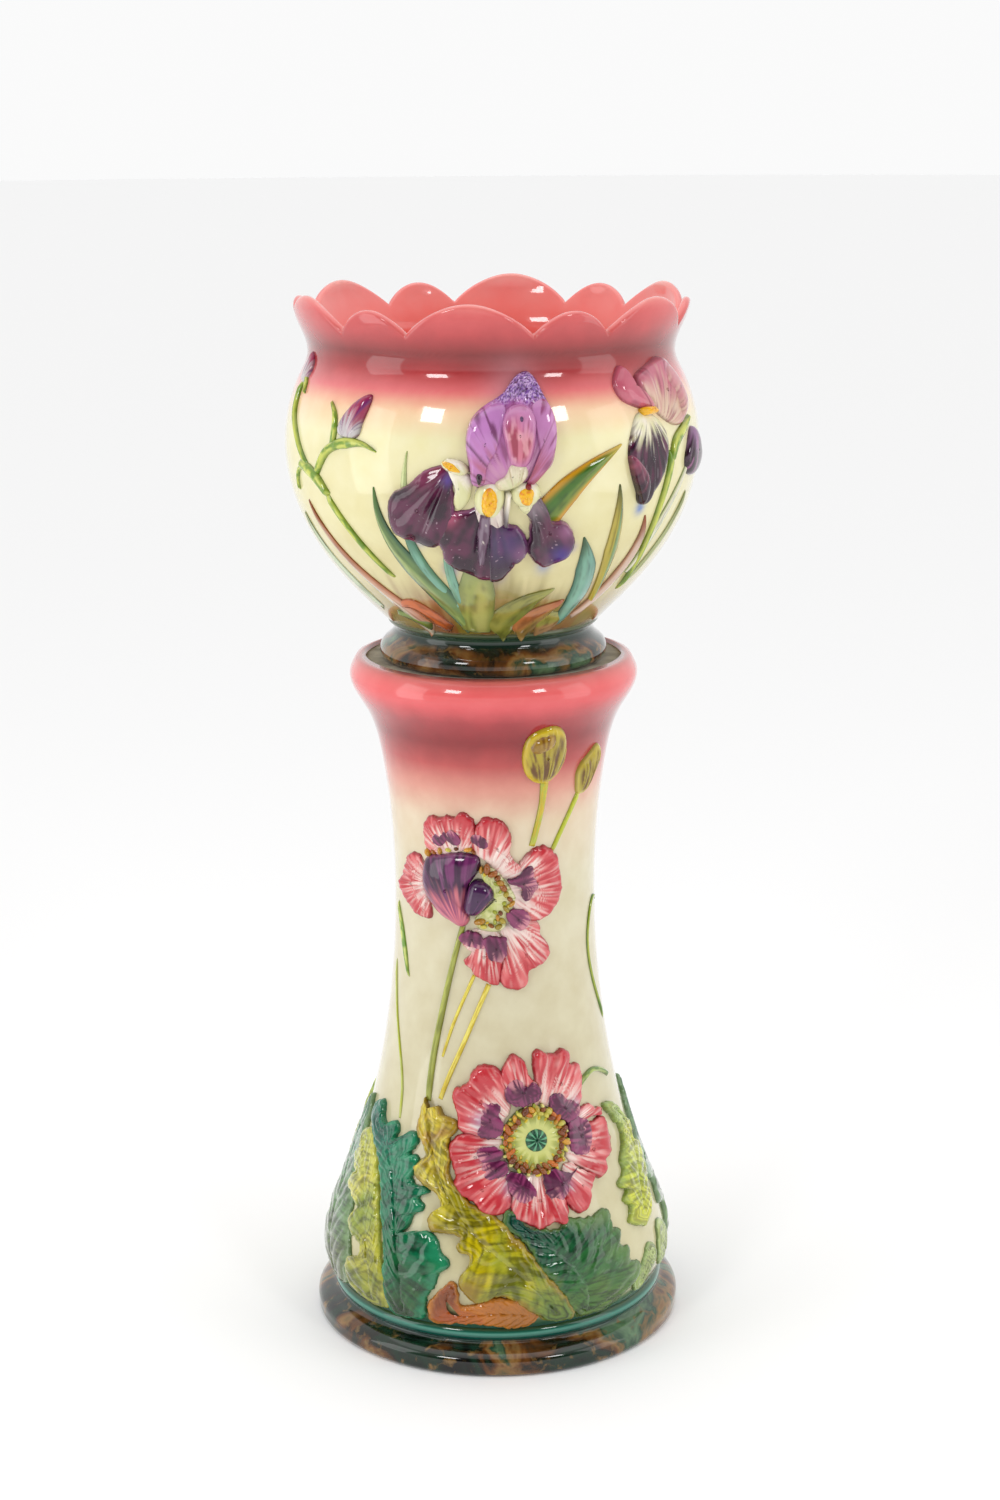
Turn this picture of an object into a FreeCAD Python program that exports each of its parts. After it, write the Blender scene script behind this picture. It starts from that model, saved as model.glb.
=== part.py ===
"""Glazed earthenware jardiniere on its stand: a bowl with a scalloped rim that stands loose on a
hollow column, both dressed with sprigs of iris and poppy that were moulded apart and luted on.

Millimetres, +Z up. The origin is the centre of the plinth's underside, the front is -Y.
Angles of sprigs are azimuths in degrees: 0 at the front, positive towards +X.
"""

import FreeCAD, Part
import math
import os

V = FreeCAD.Vector
UP = V(0, 0, 1)

# ---------------------------------------------------------------- driving dimensions
SEAT_HEIGHT = 690.0
BELLY_RADIUS = 200.9

# Stand: heights are above the floor, drops below the seat, shares are of the seat's height.
PLINTH_RADIUS = 187.8
PLINTH_EDGE_HEIGHT = 16.0
PLINTH_EDGE_ROUND = 3.0
PLINTH_SHOULDER_HEIGHT = 20.0
COVE_RADIUS = 168.5
COVE_HEIGHT = 28.0
BEAD_RADIUS = 170.5
PLINTH_HEIGHT = 43.0
PLINTH_BORE_RADIUS = 150.0

BELL_BOTTOM_RADIUS = 167.0
BELL_RADIUS = 173.4
BELL_RISE = 17.0
SKIRT_RADIUS = 156.6
SKIRT_SHARE = 0.2
FLARE_RADIUS = 120.0
FLARE_SHARE = 0.38
WAIST_RADIUS = 101.0
WAIST_SHARE = 0.66
THROAT_RADIUS = 112.5
THROAT_DROP = 95.0
ROLL_NECK_RADIUS = 127.9
ROLL_NECK_DROP = 47.0
ROLL_RADIUS = 142.5
ROLL_DROP = 13.0
ROLL_CREST_RADIUS = 133.5
ROLL_CREST_RISE = 5.0
SEAT_RADIUS = 127.0
SEAT_THICKNESS = 12.0
STAND_WALL = 9.0

# Bowl and foot: heights are above the seat, on which the foot stands, shares are of the belly's radius.
FOOT_CONTACT_RADIUS = 107.0
FOOT_RADIUS = 112.0
FOOT_BULGE_HEIGHT = 9.0
FOOT_NECK_RADIUS = 98.5
FOOT_NECK_HEIGHT = 31.0
FOOT_HEIGHT = 40.5
FOOT_BORE_RADIUS = 88.0
BOWL_BASE_RADIUS = 104.0
FLANK_SHARE = 0.847
FLANK_HEIGHT = 116.0
BELLY_HEIGHT = 214.0
SHOULDER_SHARE = 0.916
SHOULDER_HEIGHT = 282.5
NECK_SHARE = 0.8815
NECK_HEIGHT = 299.0
RIM_SHARE = 0.95
RIM_HEIGHT = 346.0
BOWL_WALL = 8.0
BOWL_FLOOR = 12.0

# Scalloped rim: wide and narrow lobes take turns.
LOBE_PAIRS = 6
WIDE_LOBE_ANGLE = 37.0
WIDE_LOBE_HEIGHT = 360.0
NARROW_LOBE_HEIGHT = 352.0
VALLEY_HEIGHT = 330.0
WIDE_LOBE_AZIMUTH = -6.3
LOBE_FULLNESS = 0.9
LOBE_STEPS = 6

# Sprigs stand proud of their wall by whole steps of relief.
RELIEF_STEP = 1.0
SPRIG_REPEATS = 2

# How many arcs or straight bands a round wall's profile is made of.
BOWL_ARCS = 6
STAND_ARCS = 10
FOOT_BANDS = 6
INNER_BANDS = 6
STAND_BANDS = 7
WALL_SAMPLES = 161

# A sprig's cross-section: shares of its width and of its relief. Those with no relief lie in the clay.
SPRIG_SINK = 0.4
CROWN = [(-0.5, 0), (-0.35, 0.7), (0, 1), (0.35, 0.7), (0.5, 0), (0.17, 0), (-0.17, 0)]
CROWN_PEAK = 2

# Sprigs wider than this get a rounded outline, with a station more between each two.
EASED_WIDTH = 25.0

# Open poppy at the foot of the stand: its petals lie at even turns round the pod.
LOWER_POPPY_AZIMUTH = 17.3
LOWER_POPPY_SHARE = 0.326
LOWER_POPPY_PETALS = 8
LOWER_POPPY_INNER_RADIUS = 16.0
LOWER_POPPY_OUTER_RADIUS = 76.0
LOWER_POPPY_PETAL = [(0.0, 0.16, 3), (0.4, 0.42, 5), (0.8, 0.66, 5), (1.0, 0.45, 2)]


# ---------------------------------------------------------------- profiles
BOWL_BASE = SEAT_HEIGHT + FOOT_HEIGHT
NECK_RADIUS = NECK_SHARE * BELLY_RADIUS
RIM_RADIUS = RIM_SHARE * BELLY_RADIUS

BOWL_PROFILE = [
    (BOWL_BASE_RADIUS, BOWL_BASE),
    (FLANK_SHARE * BELLY_RADIUS, SEAT_HEIGHT + FLANK_HEIGHT),
    (BELLY_RADIUS, SEAT_HEIGHT + BELLY_HEIGHT),
    (SHOULDER_SHARE * BELLY_RADIUS, SEAT_HEIGHT + SHOULDER_HEIGHT),
    (NECK_RADIUS, SEAT_HEIGHT + NECK_HEIGHT),
    (RIM_RADIUS, SEAT_HEIGHT + RIM_HEIGHT),
    (RIM_RADIUS, SEAT_HEIGHT + WIDE_LOBE_HEIGHT),
]

STAND_PROFILE = [
    (BELL_BOTTOM_RADIUS, PLINTH_HEIGHT),
    (BELL_RADIUS, PLINTH_HEIGHT + BELL_RISE),
    (SKIRT_RADIUS, SKIRT_SHARE * SEAT_HEIGHT),
    (FLARE_RADIUS, FLARE_SHARE * SEAT_HEIGHT),
    (WAIST_RADIUS, WAIST_SHARE * SEAT_HEIGHT),
    (THROAT_RADIUS, SEAT_HEIGHT - THROAT_DROP),
    (ROLL_NECK_RADIUS, SEAT_HEIGHT - ROLL_NECK_DROP),
    (ROLL_RADIUS, SEAT_HEIGHT - ROLL_DROP),
    (ROLL_CREST_RADIUS, SEAT_HEIGHT + ROLL_CREST_RISE),
]


def profile_curve(points):
    """Smooth curve through (radius, height) points, in the XZ plane."""
    curve = Part.BSplineCurve()
    curve.interpolate([V(radius, 0, height) for radius, height in points])
    return curve


def curve_samples(curve, count):
    """(radius, height, outward normal) at even steps along a profile curve."""
    first, last = curve.FirstParameter, curve.LastParameter
    samples = []
    for step in range(count):
        at = first + (last - first) * step / (count - 1)
        point = curve.value(at)
        tangent = V(curve.tangent(at)[0])
        samples.append((point.x, point.z, V(tangent.z, 0, -tangent.x).normalize()))
    return samples


def profile_arcs(points, count):
    """A smooth profile as a chain of arcs: edges, from the first point to the last."""
    stops = [V(r, 0, z) for r, z, _ in curve_samples(profile_curve(points), 2 * count + 1)]
    return [Part.Arc(*stops[at:at + 3]).toShape() for at in range(0, 2 * count, 2)]


def revolve(edges):
    """Solid of revolution about Z of a closed profile in the XZ plane."""
    face = Part.Face(Part.Wire(edges))
    return face.revolve(V(0, 0, 0), UP, 360)


def polyline(*points):
    """Straight edges through (radius, height) points."""
    corners = [V(radius, 0, height) for radius, height in points]
    return [Part.LineSegment(a, b).toShape() for a, b in zip(corners, corners[1:])]


def inner_bands(points, wall, count):
    """Points of the wall's inner face, from the profile's first point to its last."""
    samples = curve_samples(profile_curve(points), count)
    return [(r - n.x * wall, z - n.z * wall) for r, z, n in samples]


# ---------------------------------------------------------------- round walls
def make_bowl():
    """The bowl's shell, with its rim cut to lobes."""
    floor_top = BOWL_BASE + BOWL_FLOOR
    inner = [p for p in inner_bands(BOWL_PROFILE, BOWL_WALL, INNER_BANDS) if p[1] > floor_top + BOWL_WALL]
    corner = (BOWL_BASE_RADIUS - BOWL_WALL, floor_top)
    outer = profile_arcs(BOWL_PROFILE, BOWL_ARCS)
    rim = BOWL_PROFILE[-1]
    closing = polyline(rim, *reversed(inner), corner, (0, floor_top), (0, BOWL_BASE), BOWL_PROFILE[0])
    return revolve(outer + closing).cut(rim_cutter())


def lobe_edges(radius):
    """The scalloped edge on a cylinder: one curve per lobe, wide and narrow in turn."""
    pair = 360 / LOBE_PAIRS
    edges = []
    for number in range(LOBE_PAIRS):
        start = WIDE_LOBE_AZIMUTH - WIDE_LOBE_ANGLE / 2 + number * pair
        for first, span, peak in ((start, WIDE_LOBE_ANGLE, WIDE_LOBE_HEIGHT),
                                  (start + WIDE_LOBE_ANGLE, pair - WIDE_LOBE_ANGLE, NARROW_LOBE_HEIGHT)):
            points = []
            for step in range(LOBE_STEPS + 1):
                share = step / LOBE_STEPS
                rise = (peak - VALLEY_HEIGHT) * math.sin(math.pi * share) ** LOBE_FULLNESS
                points.append(on_cylinder(radius, first + span * share, SEAT_HEIGHT + VALLEY_HEIGHT + rise))
            curve = Part.BSplineCurve()
            curve.interpolate(points)
            edges.append(curve.toShape())
    return edges


def on_cylinder(radius, azimuth, height):
    angle = math.radians(azimuth)
    return V(radius * math.sin(angle), -radius * math.cos(angle), height)


def rim_cutter():
    """All that stands above the scalloped edge."""
    inner = lobe_edges(NECK_RADIUS - 3 * BOWL_WALL)
    outer = lobe_edges(RIM_RADIUS + 3 * BOWL_WALL)
    rise = UP * (2 * (WIDE_LOBE_HEIGHT - VALLEY_HEIGHT))
    lobes = [Part.makeRuledSurface(*edges).extrude(rise) for edges in zip(inner, outer)]
    return lobes[0].multiFuse(lobes[1:])


def make_bowl_foot():
    """Foot ring: rounded tread, waisted neck and the bead that meets the bowl."""
    tread = [
        (FOOT_CONTACT_RADIUS, SEAT_HEIGHT),
        (FOOT_RADIUS, SEAT_HEIGHT + FOOT_BULGE_HEIGHT),
        (FOOT_NECK_RADIUS, SEAT_HEIGHT + FOOT_NECK_HEIGHT),
        (BOWL_BASE_RADIUS, BOWL_BASE),
    ]
    bore = [(FOOT_BORE_RADIUS, BOWL_BASE), (FOOT_BORE_RADIUS, SEAT_HEIGHT)]
    turned = [(r, z) for r, z, _ in curve_samples(profile_curve(tread), FOOT_BANDS + 1)]
    return revolve(polyline(*turned, *bore, turned[0]))


def make_stand_column():
    """The stand's hollow body: bell, waist, throat and the roll that rings the seat."""
    seat_bottom = SEAT_HEIGHT - SEAT_THICKNESS
    roll_neck = SEAT_HEIGHT - ROLL_NECK_DROP
    inner = [p for p in inner_bands(STAND_PROFILE, STAND_WALL, STAND_BANDS) if p[1] < roll_neck]
    inner[0] = (inner[0][0], PLINTH_HEIGHT)
    ledge = SEAT_RADIUS - STAND_WALL
    closing = polyline(STAND_PROFILE[-1], (SEAT_RADIUS, SEAT_HEIGHT), (SEAT_RADIUS, seat_bottom),
                       (ledge, seat_bottom), *reversed(inner), STAND_PROFILE[0])
    return revolve(profile_arcs(STAND_PROFILE, STAND_ARCS) + closing)


def make_stand_seat():
    """Unglazed disc let into the roll."""
    bottom = V(0, 0, SEAT_HEIGHT - SEAT_THICKNESS)
    return Part.makeCylinder(SEAT_RADIUS, SEAT_THICKNESS, bottom)


def make_stand_plinth():
    """Stepped ring on the floor: rounded edge, sloping shoulder, cove and bead."""
    edge_round = polyline((PLINTH_BORE_RADIUS, PLINTH_HEIGHT), (PLINTH_BORE_RADIUS, 0),
                          (PLINTH_RADIUS - PLINTH_EDGE_ROUND, 0), (PLINTH_RADIUS, PLINTH_EDGE_ROUND),
                          (PLINTH_RADIUS, PLINTH_EDGE_HEIGHT),
                          (PLINTH_RADIUS - PLINTH_EDGE_ROUND, PLINTH_SHOULDER_HEIGHT),
                          (COVE_RADIUS, COVE_HEIGHT))
    bead = Part.Arc(V(COVE_RADIUS, 0, COVE_HEIGHT),
                    V(BEAD_RADIUS, 0, (COVE_HEIGHT + PLINTH_HEIGHT) / 2),
                    V(BELL_BOTTOM_RADIUS, 0, PLINTH_HEIGHT)).toShape()
    top = polyline((BELL_BOTTOM_RADIUS, PLINTH_HEIGHT), (PLINTH_BORE_RADIUS, PLINTH_HEIGHT))
    return revolve(edge_round + [bead] + top)


# ---------------------------------------------------------------- sprigs
class Wall:
    """A round wall's outer face, on which sprigs are placed by azimuth and height above its level."""

    def __init__(self, profile, level, height, radius):
        self.samples = curve_samples(profile_curve(profile), WALL_SAMPLES)
        self.level = level
        self.height = height
        self.breadth = radius

    def sized(self, stations):
        """Stations in millimetres, from thousandths of the wall's height and radius."""
        return [(azimuth, height * self.height / 1000, width * self.breadth / 1000, relief * RELIEF_STEP)
                for azimuth, height, width, relief in stations]

    def radius_and_normal(self, height):
        """Radius and outward normal in the XZ plane at a height above the wall's level."""
        target = height + self.level
        for (r0, z0, n0), (r1, z1, n1) in zip(self.samples, self.samples[1:]):
            if z0 <= target <= z1:
                share = (target - z0) / (z1 - z0)
                return r0 + (r1 - r0) * share, (n0 * (1 - share) + n1 * share).normalize()
        raise ValueError("no wall at height %.1f" % height)

    def point(self, azimuth, height, lift=0.0):
        """Point over the wall, lifted off it along its normal."""
        radius, normal = self.radius_and_normal(height)
        return on_cylinder(radius + normal.x * lift, azimuth, height + self.level + normal.z * lift)

    def walked(self, azimuth, height, across, up):
        """Azimuth and height after a walk in millimetres over the wall's face."""
        radius, normal = self.radius_and_normal(height)
        return azimuth + math.degrees(across / radius), height + up * normal.x


def eased(stations):
    """Stations with one more, on a smooth curve, between each two."""
    finer = []
    for index in range(len(stations) - 1):
        before, after = stations[max(index - 1, 0)], stations[min(index + 2, len(stations) - 1)]
        here, there = stations[index:index + 2]
        finer += [here, tuple((9 * (b + c) - a - d) / 16 for a, b, c, d in zip(before, here, there, after))]
    return finer + [stations[-1]]


def sprig(wall, stations):
    """A luted-on sprig: a loft through crowned sections along a spine of
    (azimuth, height, width, relief) stations."""
    if max(width for _, _, width, _ in stations) > EASED_WIDTH:
        stations = eased(stations)
    spine = [wall.point(azimuth, height) for azimuth, height, _, _ in stations]
    sections = []
    for index, (azimuth, height, width, relief) in enumerate(stations):
        along = spine[min(index + 1, len(spine) - 1)] - spine[max(index - 1, 0)]
        along.normalize()
        radius, normal = wall.radius_and_normal(height)
        east = on_cylinder(1, azimuth + 90, 0)
        outward = on_cylinder(normal.x, azimuth, normal.z)
        north = outward.cross(east)
        side = along.cross(outward)
        corners = []
        for share, rise in CROWN:
            reach = side * (share * width)
            where = wall.walked(azimuth, height, reach.dot(east), reach.dot(north))
            lift = rise * relief if rise > 0 else -SPRIG_SINK
            corner = wall.point(*where, lift)
            corners.append(corner - along * (corner - spine[index]).dot(along))
        sections.append(corners)
    return faceted_loft(sections)


def faceted_loft(sections):
    """Solid between like-numbered corners of closed sections, in flat facets."""
    count = len(sections[0])
    last = (len(sections) - 1) * count
    facets = []
    for start in range(0, last, count):
        for corner in range(count):
            a, b = start + corner, start + (corner + 1) % count
            facets += [(a, b, a + count), (b, b + count, a + count)]
    for step in range(1, count - 1):
        b, c = (CROWN_PEAK + step) % count, (CROWN_PEAK + step + 1) % count
        facets += [(CROWN_PEAK, c, b), (last + CROWN_PEAK, last + b, last + c)]
    skin = Part.Shape()
    skin.makeShapeFromMesh(([tuple(v) for corners in sections for v in corners], facets), 0.01)
    solid = Part.makeSolid(skin)
    return solid if solid.Volume > 0 else solid.reversed()


def repeated(solids):
    """Every sprig again at even turns round the pot."""
    copies = []
    for turn in range(SPRIG_REPEATS):
        for solid in solids:
            copy = solid.copy()
            copy.rotate(V(0, 0, 0), UP, 360 * turn / SPRIG_REPEATS)
            copies.append(copy)
    return Part.makeCompound(copies)


# Stations are (azimuth, height, width, relief). Heights are thousandths of the wall's height: on the bowl
# from the seat to the top of the rim, on the stand from the floor to the seat. Widths are thousandths of
# the belly's radius on the bowl and of the waist's on the stand. Relief is in steps.
BOWL_SPRIGS = {
    "iris_standard": [[(6, 558, 119, 5), (5.5, 581, 259, 9), (5, 628, 358, 13), (5, 689, 398, 14),
                       (7, 744, 309, 12), (9.5, 794, 169, 8), (10.5, 831, 40, 3)]],
    "iris_fall_left": [[(-10, 600, 50, 4), (-13, 556, 139, 9), (-18, 506, 229, 11), (-23.5, 444, 245, 10),
                        (-26.5, 403, 190, 7), (-27, 381, 90, 3)]],
    "iris_fall_centre": [[(-2.5, 544, 70, 5), (-2.5, 511, 179, 10), (-3, 444, 348, 11), (-3, 378, 388, 10),
                          (-3, 322, 289, 7), (-3, 294, 119, 3)]],
    "iris_fall_right": [[(8.5, 522, 50, 5), (12, 489, 119, 9), (17.5, 433, 199, 11), (19.5, 383, 209, 9),
                         (18.5, 339, 139, 6), (17.5, 319, 60, 3)]],
    "side_iris_standard": [[(52, 744, 129, 5), (52, 778, 279, 9), (51, 817, 279, 8), (51, 861, 100, 4)]],
    "side_iris_fall": [[(47, 728, 60, 4), (46, 672, 169, 9), (45.5, 606, 199, 9), (46.5, 533, 129, 6),
                        (47.3, 489, 30, 3)]],
    "iris_buds": [[(-38.5, 656, 45, 3), (-37, 706, 80, 7), (-35.5, 761, 25, 3)],
                  [(-68, 775, 45, 3), (-68.5, 811, 65, 5), (-67, 850, 20, 3)]],
    "iris_stems": [[(-35.7, 292, 30, 2), (-42, 406, 35, 3), (-49.6, 511, 35, 3), (-57, 525, 45, 3.5),
                    (-62, 533, 25, 2)],
                   [(-56, 542, 25, 2), (-50, 594, 40, 3.5), (-44, 639, 30, 3), (-39.5, 650, 25, 2)],
                   [(-63.5, 550, 30, 2), (-68, 617, 30, 3), (-70, 694, 35, 3.5), (-68.5, 761, 30, 2)],
                   [(53.5, 233, 30, 2), (53.5, 389, 40, 3), (53.8, 472, 45, 3.5), (55.5, 556, 40, 3),
                    (57.7, 661, 25, 2)]],
    "iris_leaves": [[(26, 508, 112, 2.5), (29.5, 572, 85, 2.5), (35.6, 650, 15, 1)],
                    [(-9, 133, 90, 2), (-8, 217, 159, 2.5), (-6, 281, 110, 2)],
                    [(-13, 172, 40, 2), (-21.5, 272, 80, 2.5), (-34.5, 403, 45, 2.5),
                     (-35.5, 533, 15, 1)],
                    [(-25, 150, 60, 2), (-40, 233, 90, 2.5), (-53, 350, 60, 2.5),
                     (-62.2, 469, 15, 1)],
                    [(16, 150, 50, 2), (27, 244, 110, 2.5), (28, 322, 70, 2), (28.5, 400, 15, 1)],
                    [(39, 233, 50, 2), (39, 333, 90, 2.5), (37, 433, 55, 2), (35.5, 533, 15, 1)]],
}

STAND_SPRIGS = {
    "seed_heads": [[(25.5, 846, 158, 4), (25, 867, 337, 9), (24, 893, 376, 10), (22.5, 919, 277, 8),
                    (22, 933, 119, 4)],
                   [(53, 809, 99, 4), (52, 829, 238, 8), (50, 861, 257, 8), (48, 887, 99, 4)]],
    "poppy_stems": [[(26, 841, 59, 3), (26.5, 797, 59, 3.5), (24.4, 755, 50, 2)],
                    [(50, 803, 59, 3), (43, 775, 50, 3.5), (33.3, 751, 40, 2)],
                    [(-22, 542, 59, 3), (-25, 507, 59, 3.5), (-30, 435, 59, 3), (-33.4, 386, 59, 2)],
                    [(63, 591, 50, 2), (66, 551, 50, 3.5), (77, 472, 50, 2)]],
    "upper_poppy_petals": [[(-25, 746, 376, 4), (-25, 765, 574, 5), (-25, 787, 594, 5),
                            (-25, 803, 356, 3)],
                           [(4, 716, 218, 3), (2, 742, 376, 5), (-0.5, 775, 416, 6), (-1, 801, 238, 3)],
                           [(-51, 739, 119, 3), (-53.5, 717, 297, 5), (-54, 684, 356, 5),
                            (-50, 641, 178, 3)],
                           [(8, 690, 218, 4), (17, 699, 495, 7), (29, 701, 693, 7), (38, 703, 475, 3)],
                           [(-9, 639, 257, 4), (-11, 609, 436, 7), (-12, 583, 455, 7), (-11, 557, 257, 3)],
                           [(10, 641, 297, 4), (14, 609, 495, 7), (17, 580, 554, 7), (18, 551, 317, 3)]],
    "upper_poppy_cup": [[(-27, 638, 178, 5), (-27, 657, 376, 9), (-27, 693, 495, 11),
                         (-27, 722, 475, 11), (-27, 738, 337, 5)],
                        [(-7, 651, 119, 4), (-5.5, 670, 218, 7), (-4, 688, 198, 7), (-3, 701, 99, 4)]],
    "lower_poppy_pod": [[(17.3, 310, 119, 6), (17.3, 326, 238, 10), (17.3, 342, 119, 6)]],
    "leaf_yellow": [[(-66, 299, 158, 2), (-60, 232, 455, 4), (-52, 159, 535, 4), (-46, 90, 396, 3)]],
    "leaf_teal": [[(-52, 345, 119, 2), (-41, 284, 396, 4), (-35, 217, 337, 4), (-30, 159, 455, 4),
                   (-31, 96, 356, 3)]],
    "leaf_olive": [[(-32, 365, 79, 2), (-25, 284, 297, 4), (-17, 217, 436, 5), (-3, 151, 515, 4),
                    (12, 96, 356, 3)]],
    "leaf_fan": [[(30, 87, 238, 2), (26, 133, 554, 5), (15, 191, 436, 3)],
                 [(36, 90, 198, 2), (39, 142, 455, 5), (39, 191, 297, 3)],
                 [(43, 90, 178, 2), (50, 125, 297, 4), (54, 154, 178, 2)]],
    "leaf_side": [[(63, 162, 178, 2), (68, 232, 337, 4), (76, 328, 119, 2)]],
}


def lower_poppy_petals(wall):
    """Open flower: petals at even turns round the pod, each widening outwards."""
    span = LOWER_POPPY_OUTER_RADIUS - LOWER_POPPY_INNER_RADIUS
    petals = []
    for number in range(LOWER_POPPY_PETALS):
        turn = 2 * math.pi * (number + 0.5) / LOWER_POPPY_PETALS
        stations = []
        for share, width, relief in LOWER_POPPY_PETAL:
            reach = LOWER_POPPY_INNER_RADIUS + share * span
            where = wall.walked(LOWER_POPPY_AZIMUTH, LOWER_POPPY_SHARE * SEAT_HEIGHT,
                                reach * math.sin(turn), reach * math.cos(turn))
            stations.append((*where, width * LOWER_POPPY_OUTER_RADIUS, relief * RELIEF_STEP))
        petals.append(sprig(wall, stations))
    return petals


def main():
    bowl_wall = Wall(BOWL_PROFILE, SEAT_HEIGHT, WIDE_LOBE_HEIGHT, BELLY_RADIUS)
    stand_wall = Wall(STAND_PROFILE, 0, SEAT_HEIGHT, WAIST_RADIUS)
    nodes = {
        "bowl": make_bowl(),
        "bowl_foot": make_bowl_foot(),
        "stand_column": make_stand_column(),
        "stand_seat": make_stand_seat(),
        "stand_plinth": make_stand_plinth(),
        "lower_poppy_petals": repeated(lower_poppy_petals(stand_wall)),
    }
    for wall, sprigs in ((bowl_wall, BOWL_SPRIGS), (stand_wall, STAND_SPRIGS)):
        for name, spines in sprigs.items():
            nodes[name] = repeated([sprig(wall, wall.sized(stations)) for stations in spines])
    os.makedirs("parts", exist_ok=True)
    for name, shape in nodes.items():
        shape.exportStep("parts/%s.step" % name)


main()
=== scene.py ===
"""Looks of a glazed earthenware jardiniere on its stand, built round the fixed frame.

Working lengths are millimetres and become metres when a mesh is made. A place on a round wall is
(azimuth, height): azimuth in degrees, 0 at the front and positive towards +X, height above the floor.
"""

import math

import bpy
import numpy as np
from mathutils import Matrix


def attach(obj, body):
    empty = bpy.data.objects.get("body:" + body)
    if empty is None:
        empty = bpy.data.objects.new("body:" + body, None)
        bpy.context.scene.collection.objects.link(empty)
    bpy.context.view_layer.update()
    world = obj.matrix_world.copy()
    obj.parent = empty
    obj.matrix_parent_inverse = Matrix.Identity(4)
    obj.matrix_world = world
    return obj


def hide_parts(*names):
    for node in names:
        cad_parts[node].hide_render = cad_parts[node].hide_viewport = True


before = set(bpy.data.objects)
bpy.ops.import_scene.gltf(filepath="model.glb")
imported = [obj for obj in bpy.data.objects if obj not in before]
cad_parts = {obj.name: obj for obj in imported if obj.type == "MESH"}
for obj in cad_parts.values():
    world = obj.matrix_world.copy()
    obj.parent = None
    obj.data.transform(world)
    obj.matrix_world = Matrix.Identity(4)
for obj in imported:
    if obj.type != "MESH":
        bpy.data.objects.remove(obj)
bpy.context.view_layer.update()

MM = 0.001

# ---------------- sizes
SEAT_TOP = 690.0
BOWL_BASE = 730.5
BOWL_FLOOR_TOP = 742.5
BOWL_WALL = 8.0
BOWL_PROFILE = [
    (104, 730.5), (170.2, 806), (200.9, 904), (184, 972.5), (177.1, 989), (190.8, 1036), (190.8, 1050)]
STAND_PROFILE = [
    (167, 43), (173.4, 60), (156.6, 138), (120, 262), (101, 455), (112.5, 595), (127.9, 643), (142.5, 677),
    (133.5, 695)]
STAND_WALL = 9.0
SEAT_RADIUS = 127.0
SEAT_THICKNESS = 12.0

LOBE_PAIRS = 6
WIDE_LOBE_ANGLE = 37.0
WIDE_LOBE_AZIMUTH = -6.3
WIDE_LOBE_TOP = 1050.0
NARROW_LOBE_TOP = 1042.0
VALLEY_TOP = 1020.0

SINK = 1.2
EDGE_SINK = 0.3
COLUMNS = 480
RIBBON_COLUMNS = 17
BLOB_COLUMNS = 10
BLOB_NARROWING = 0.8
BLOB_HEIGHT = 1.2
BLOB_RINGS = ((1.0, 0), (1.0, 0.1), (0.86, 0.55), (0.5, 0.9), (0.05, 1.0))
NOISE_CELLS = 256
# Darkening round the foot of each relief: partly pooled glaze, partly painted shade.
POOL_AND_SHADE_DEPTH = 0.32
STEM_SEED = 131
BLOTCH_SCALE = 1.08
LIP_RINGS = 7

CAMERA_PLACE = (0.006, -2.6, 1.2548)
CAMERA_LENS = 64.32
CAMERA_DIP = 0.2495
CAMERA_ROLL = -0.35

COAT = 0.85
COAT_ROUGHNESS = 0.03
GLAZE_IOR = 1.5
GLAZE_SPECULAR = 0.2


# ---------------- colour and noise
def rgb(colour):
    """Linear colour of a display colour such as "e8a040". A colour that is linear already stays as it is."""
    if not isinstance(colour, str):
        return colour
    c = np.array([int(colour[at:at + 2], 16) for at in (0, 2, 4)], float) / 255
    return np.where(c <= 0.04045, c / 12.92, ((c + 0.055) / 1.055) ** 2.4)


def step(low, high, value):
    """Smooth step from 0 at low to 1 at high."""
    t = np.clip((value - low) / (high - low), 0, 1)
    return t * t * (3 - 2 * t)


def mix(first, second, share):
    share = np.asarray(share)[..., None]
    return rgb(first) * (1 - share) + rgb(second) * share


def ramp(value, stops):
    """Colours along a value: stops are (place, colour)."""
    places = [place for place, _ in stops]
    colours = np.array([rgb(colour) for _, colour in stops])
    return np.stack([np.interp(value, places, colours[:, channel]) for channel in range(3)], -1)


def rounded(t, power):
    """1 in the middle, falling off to 0 where t is 1: the higher the power, the steeper the edge."""
    return np.sqrt(np.clip(1 - t ** power, 0, 1))


def noise(x, y, seed):
    """Smooth value noise, 0 to 1, one cell per unit."""
    table = np.random.default_rng(seed).random((NOISE_CELLS, NOISE_CELLS))
    x, y = np.asarray(x, float), np.asarray(y, float)
    column, row = np.floor(x).astype(int), np.floor(y).astype(int)
    u, v = x - column, y - row
    u, v = u * u * (3 - 2 * u), v * v * (3 - 2 * v)

    def corner(a, b):
        return table[(column + a) % NOISE_CELLS, (row + b) % NOISE_CELLS]

    near = corner(0, 0) * (1 - u) + corner(1, 0) * u
    far = corner(0, 1) * (1 - u) + corner(1, 1) * u
    return near * (1 - v) + far * v


def grain(x, y, seed):
    """Noise with finer noise on top."""
    coarse = 0.6 * noise(x, y, seed) + 0.27 * noise(2.1 * x, 2.1 * y, seed + 1)
    return coarse + 0.13 * noise(4.3 * x, 4.3 * y, seed + 2)


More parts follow.
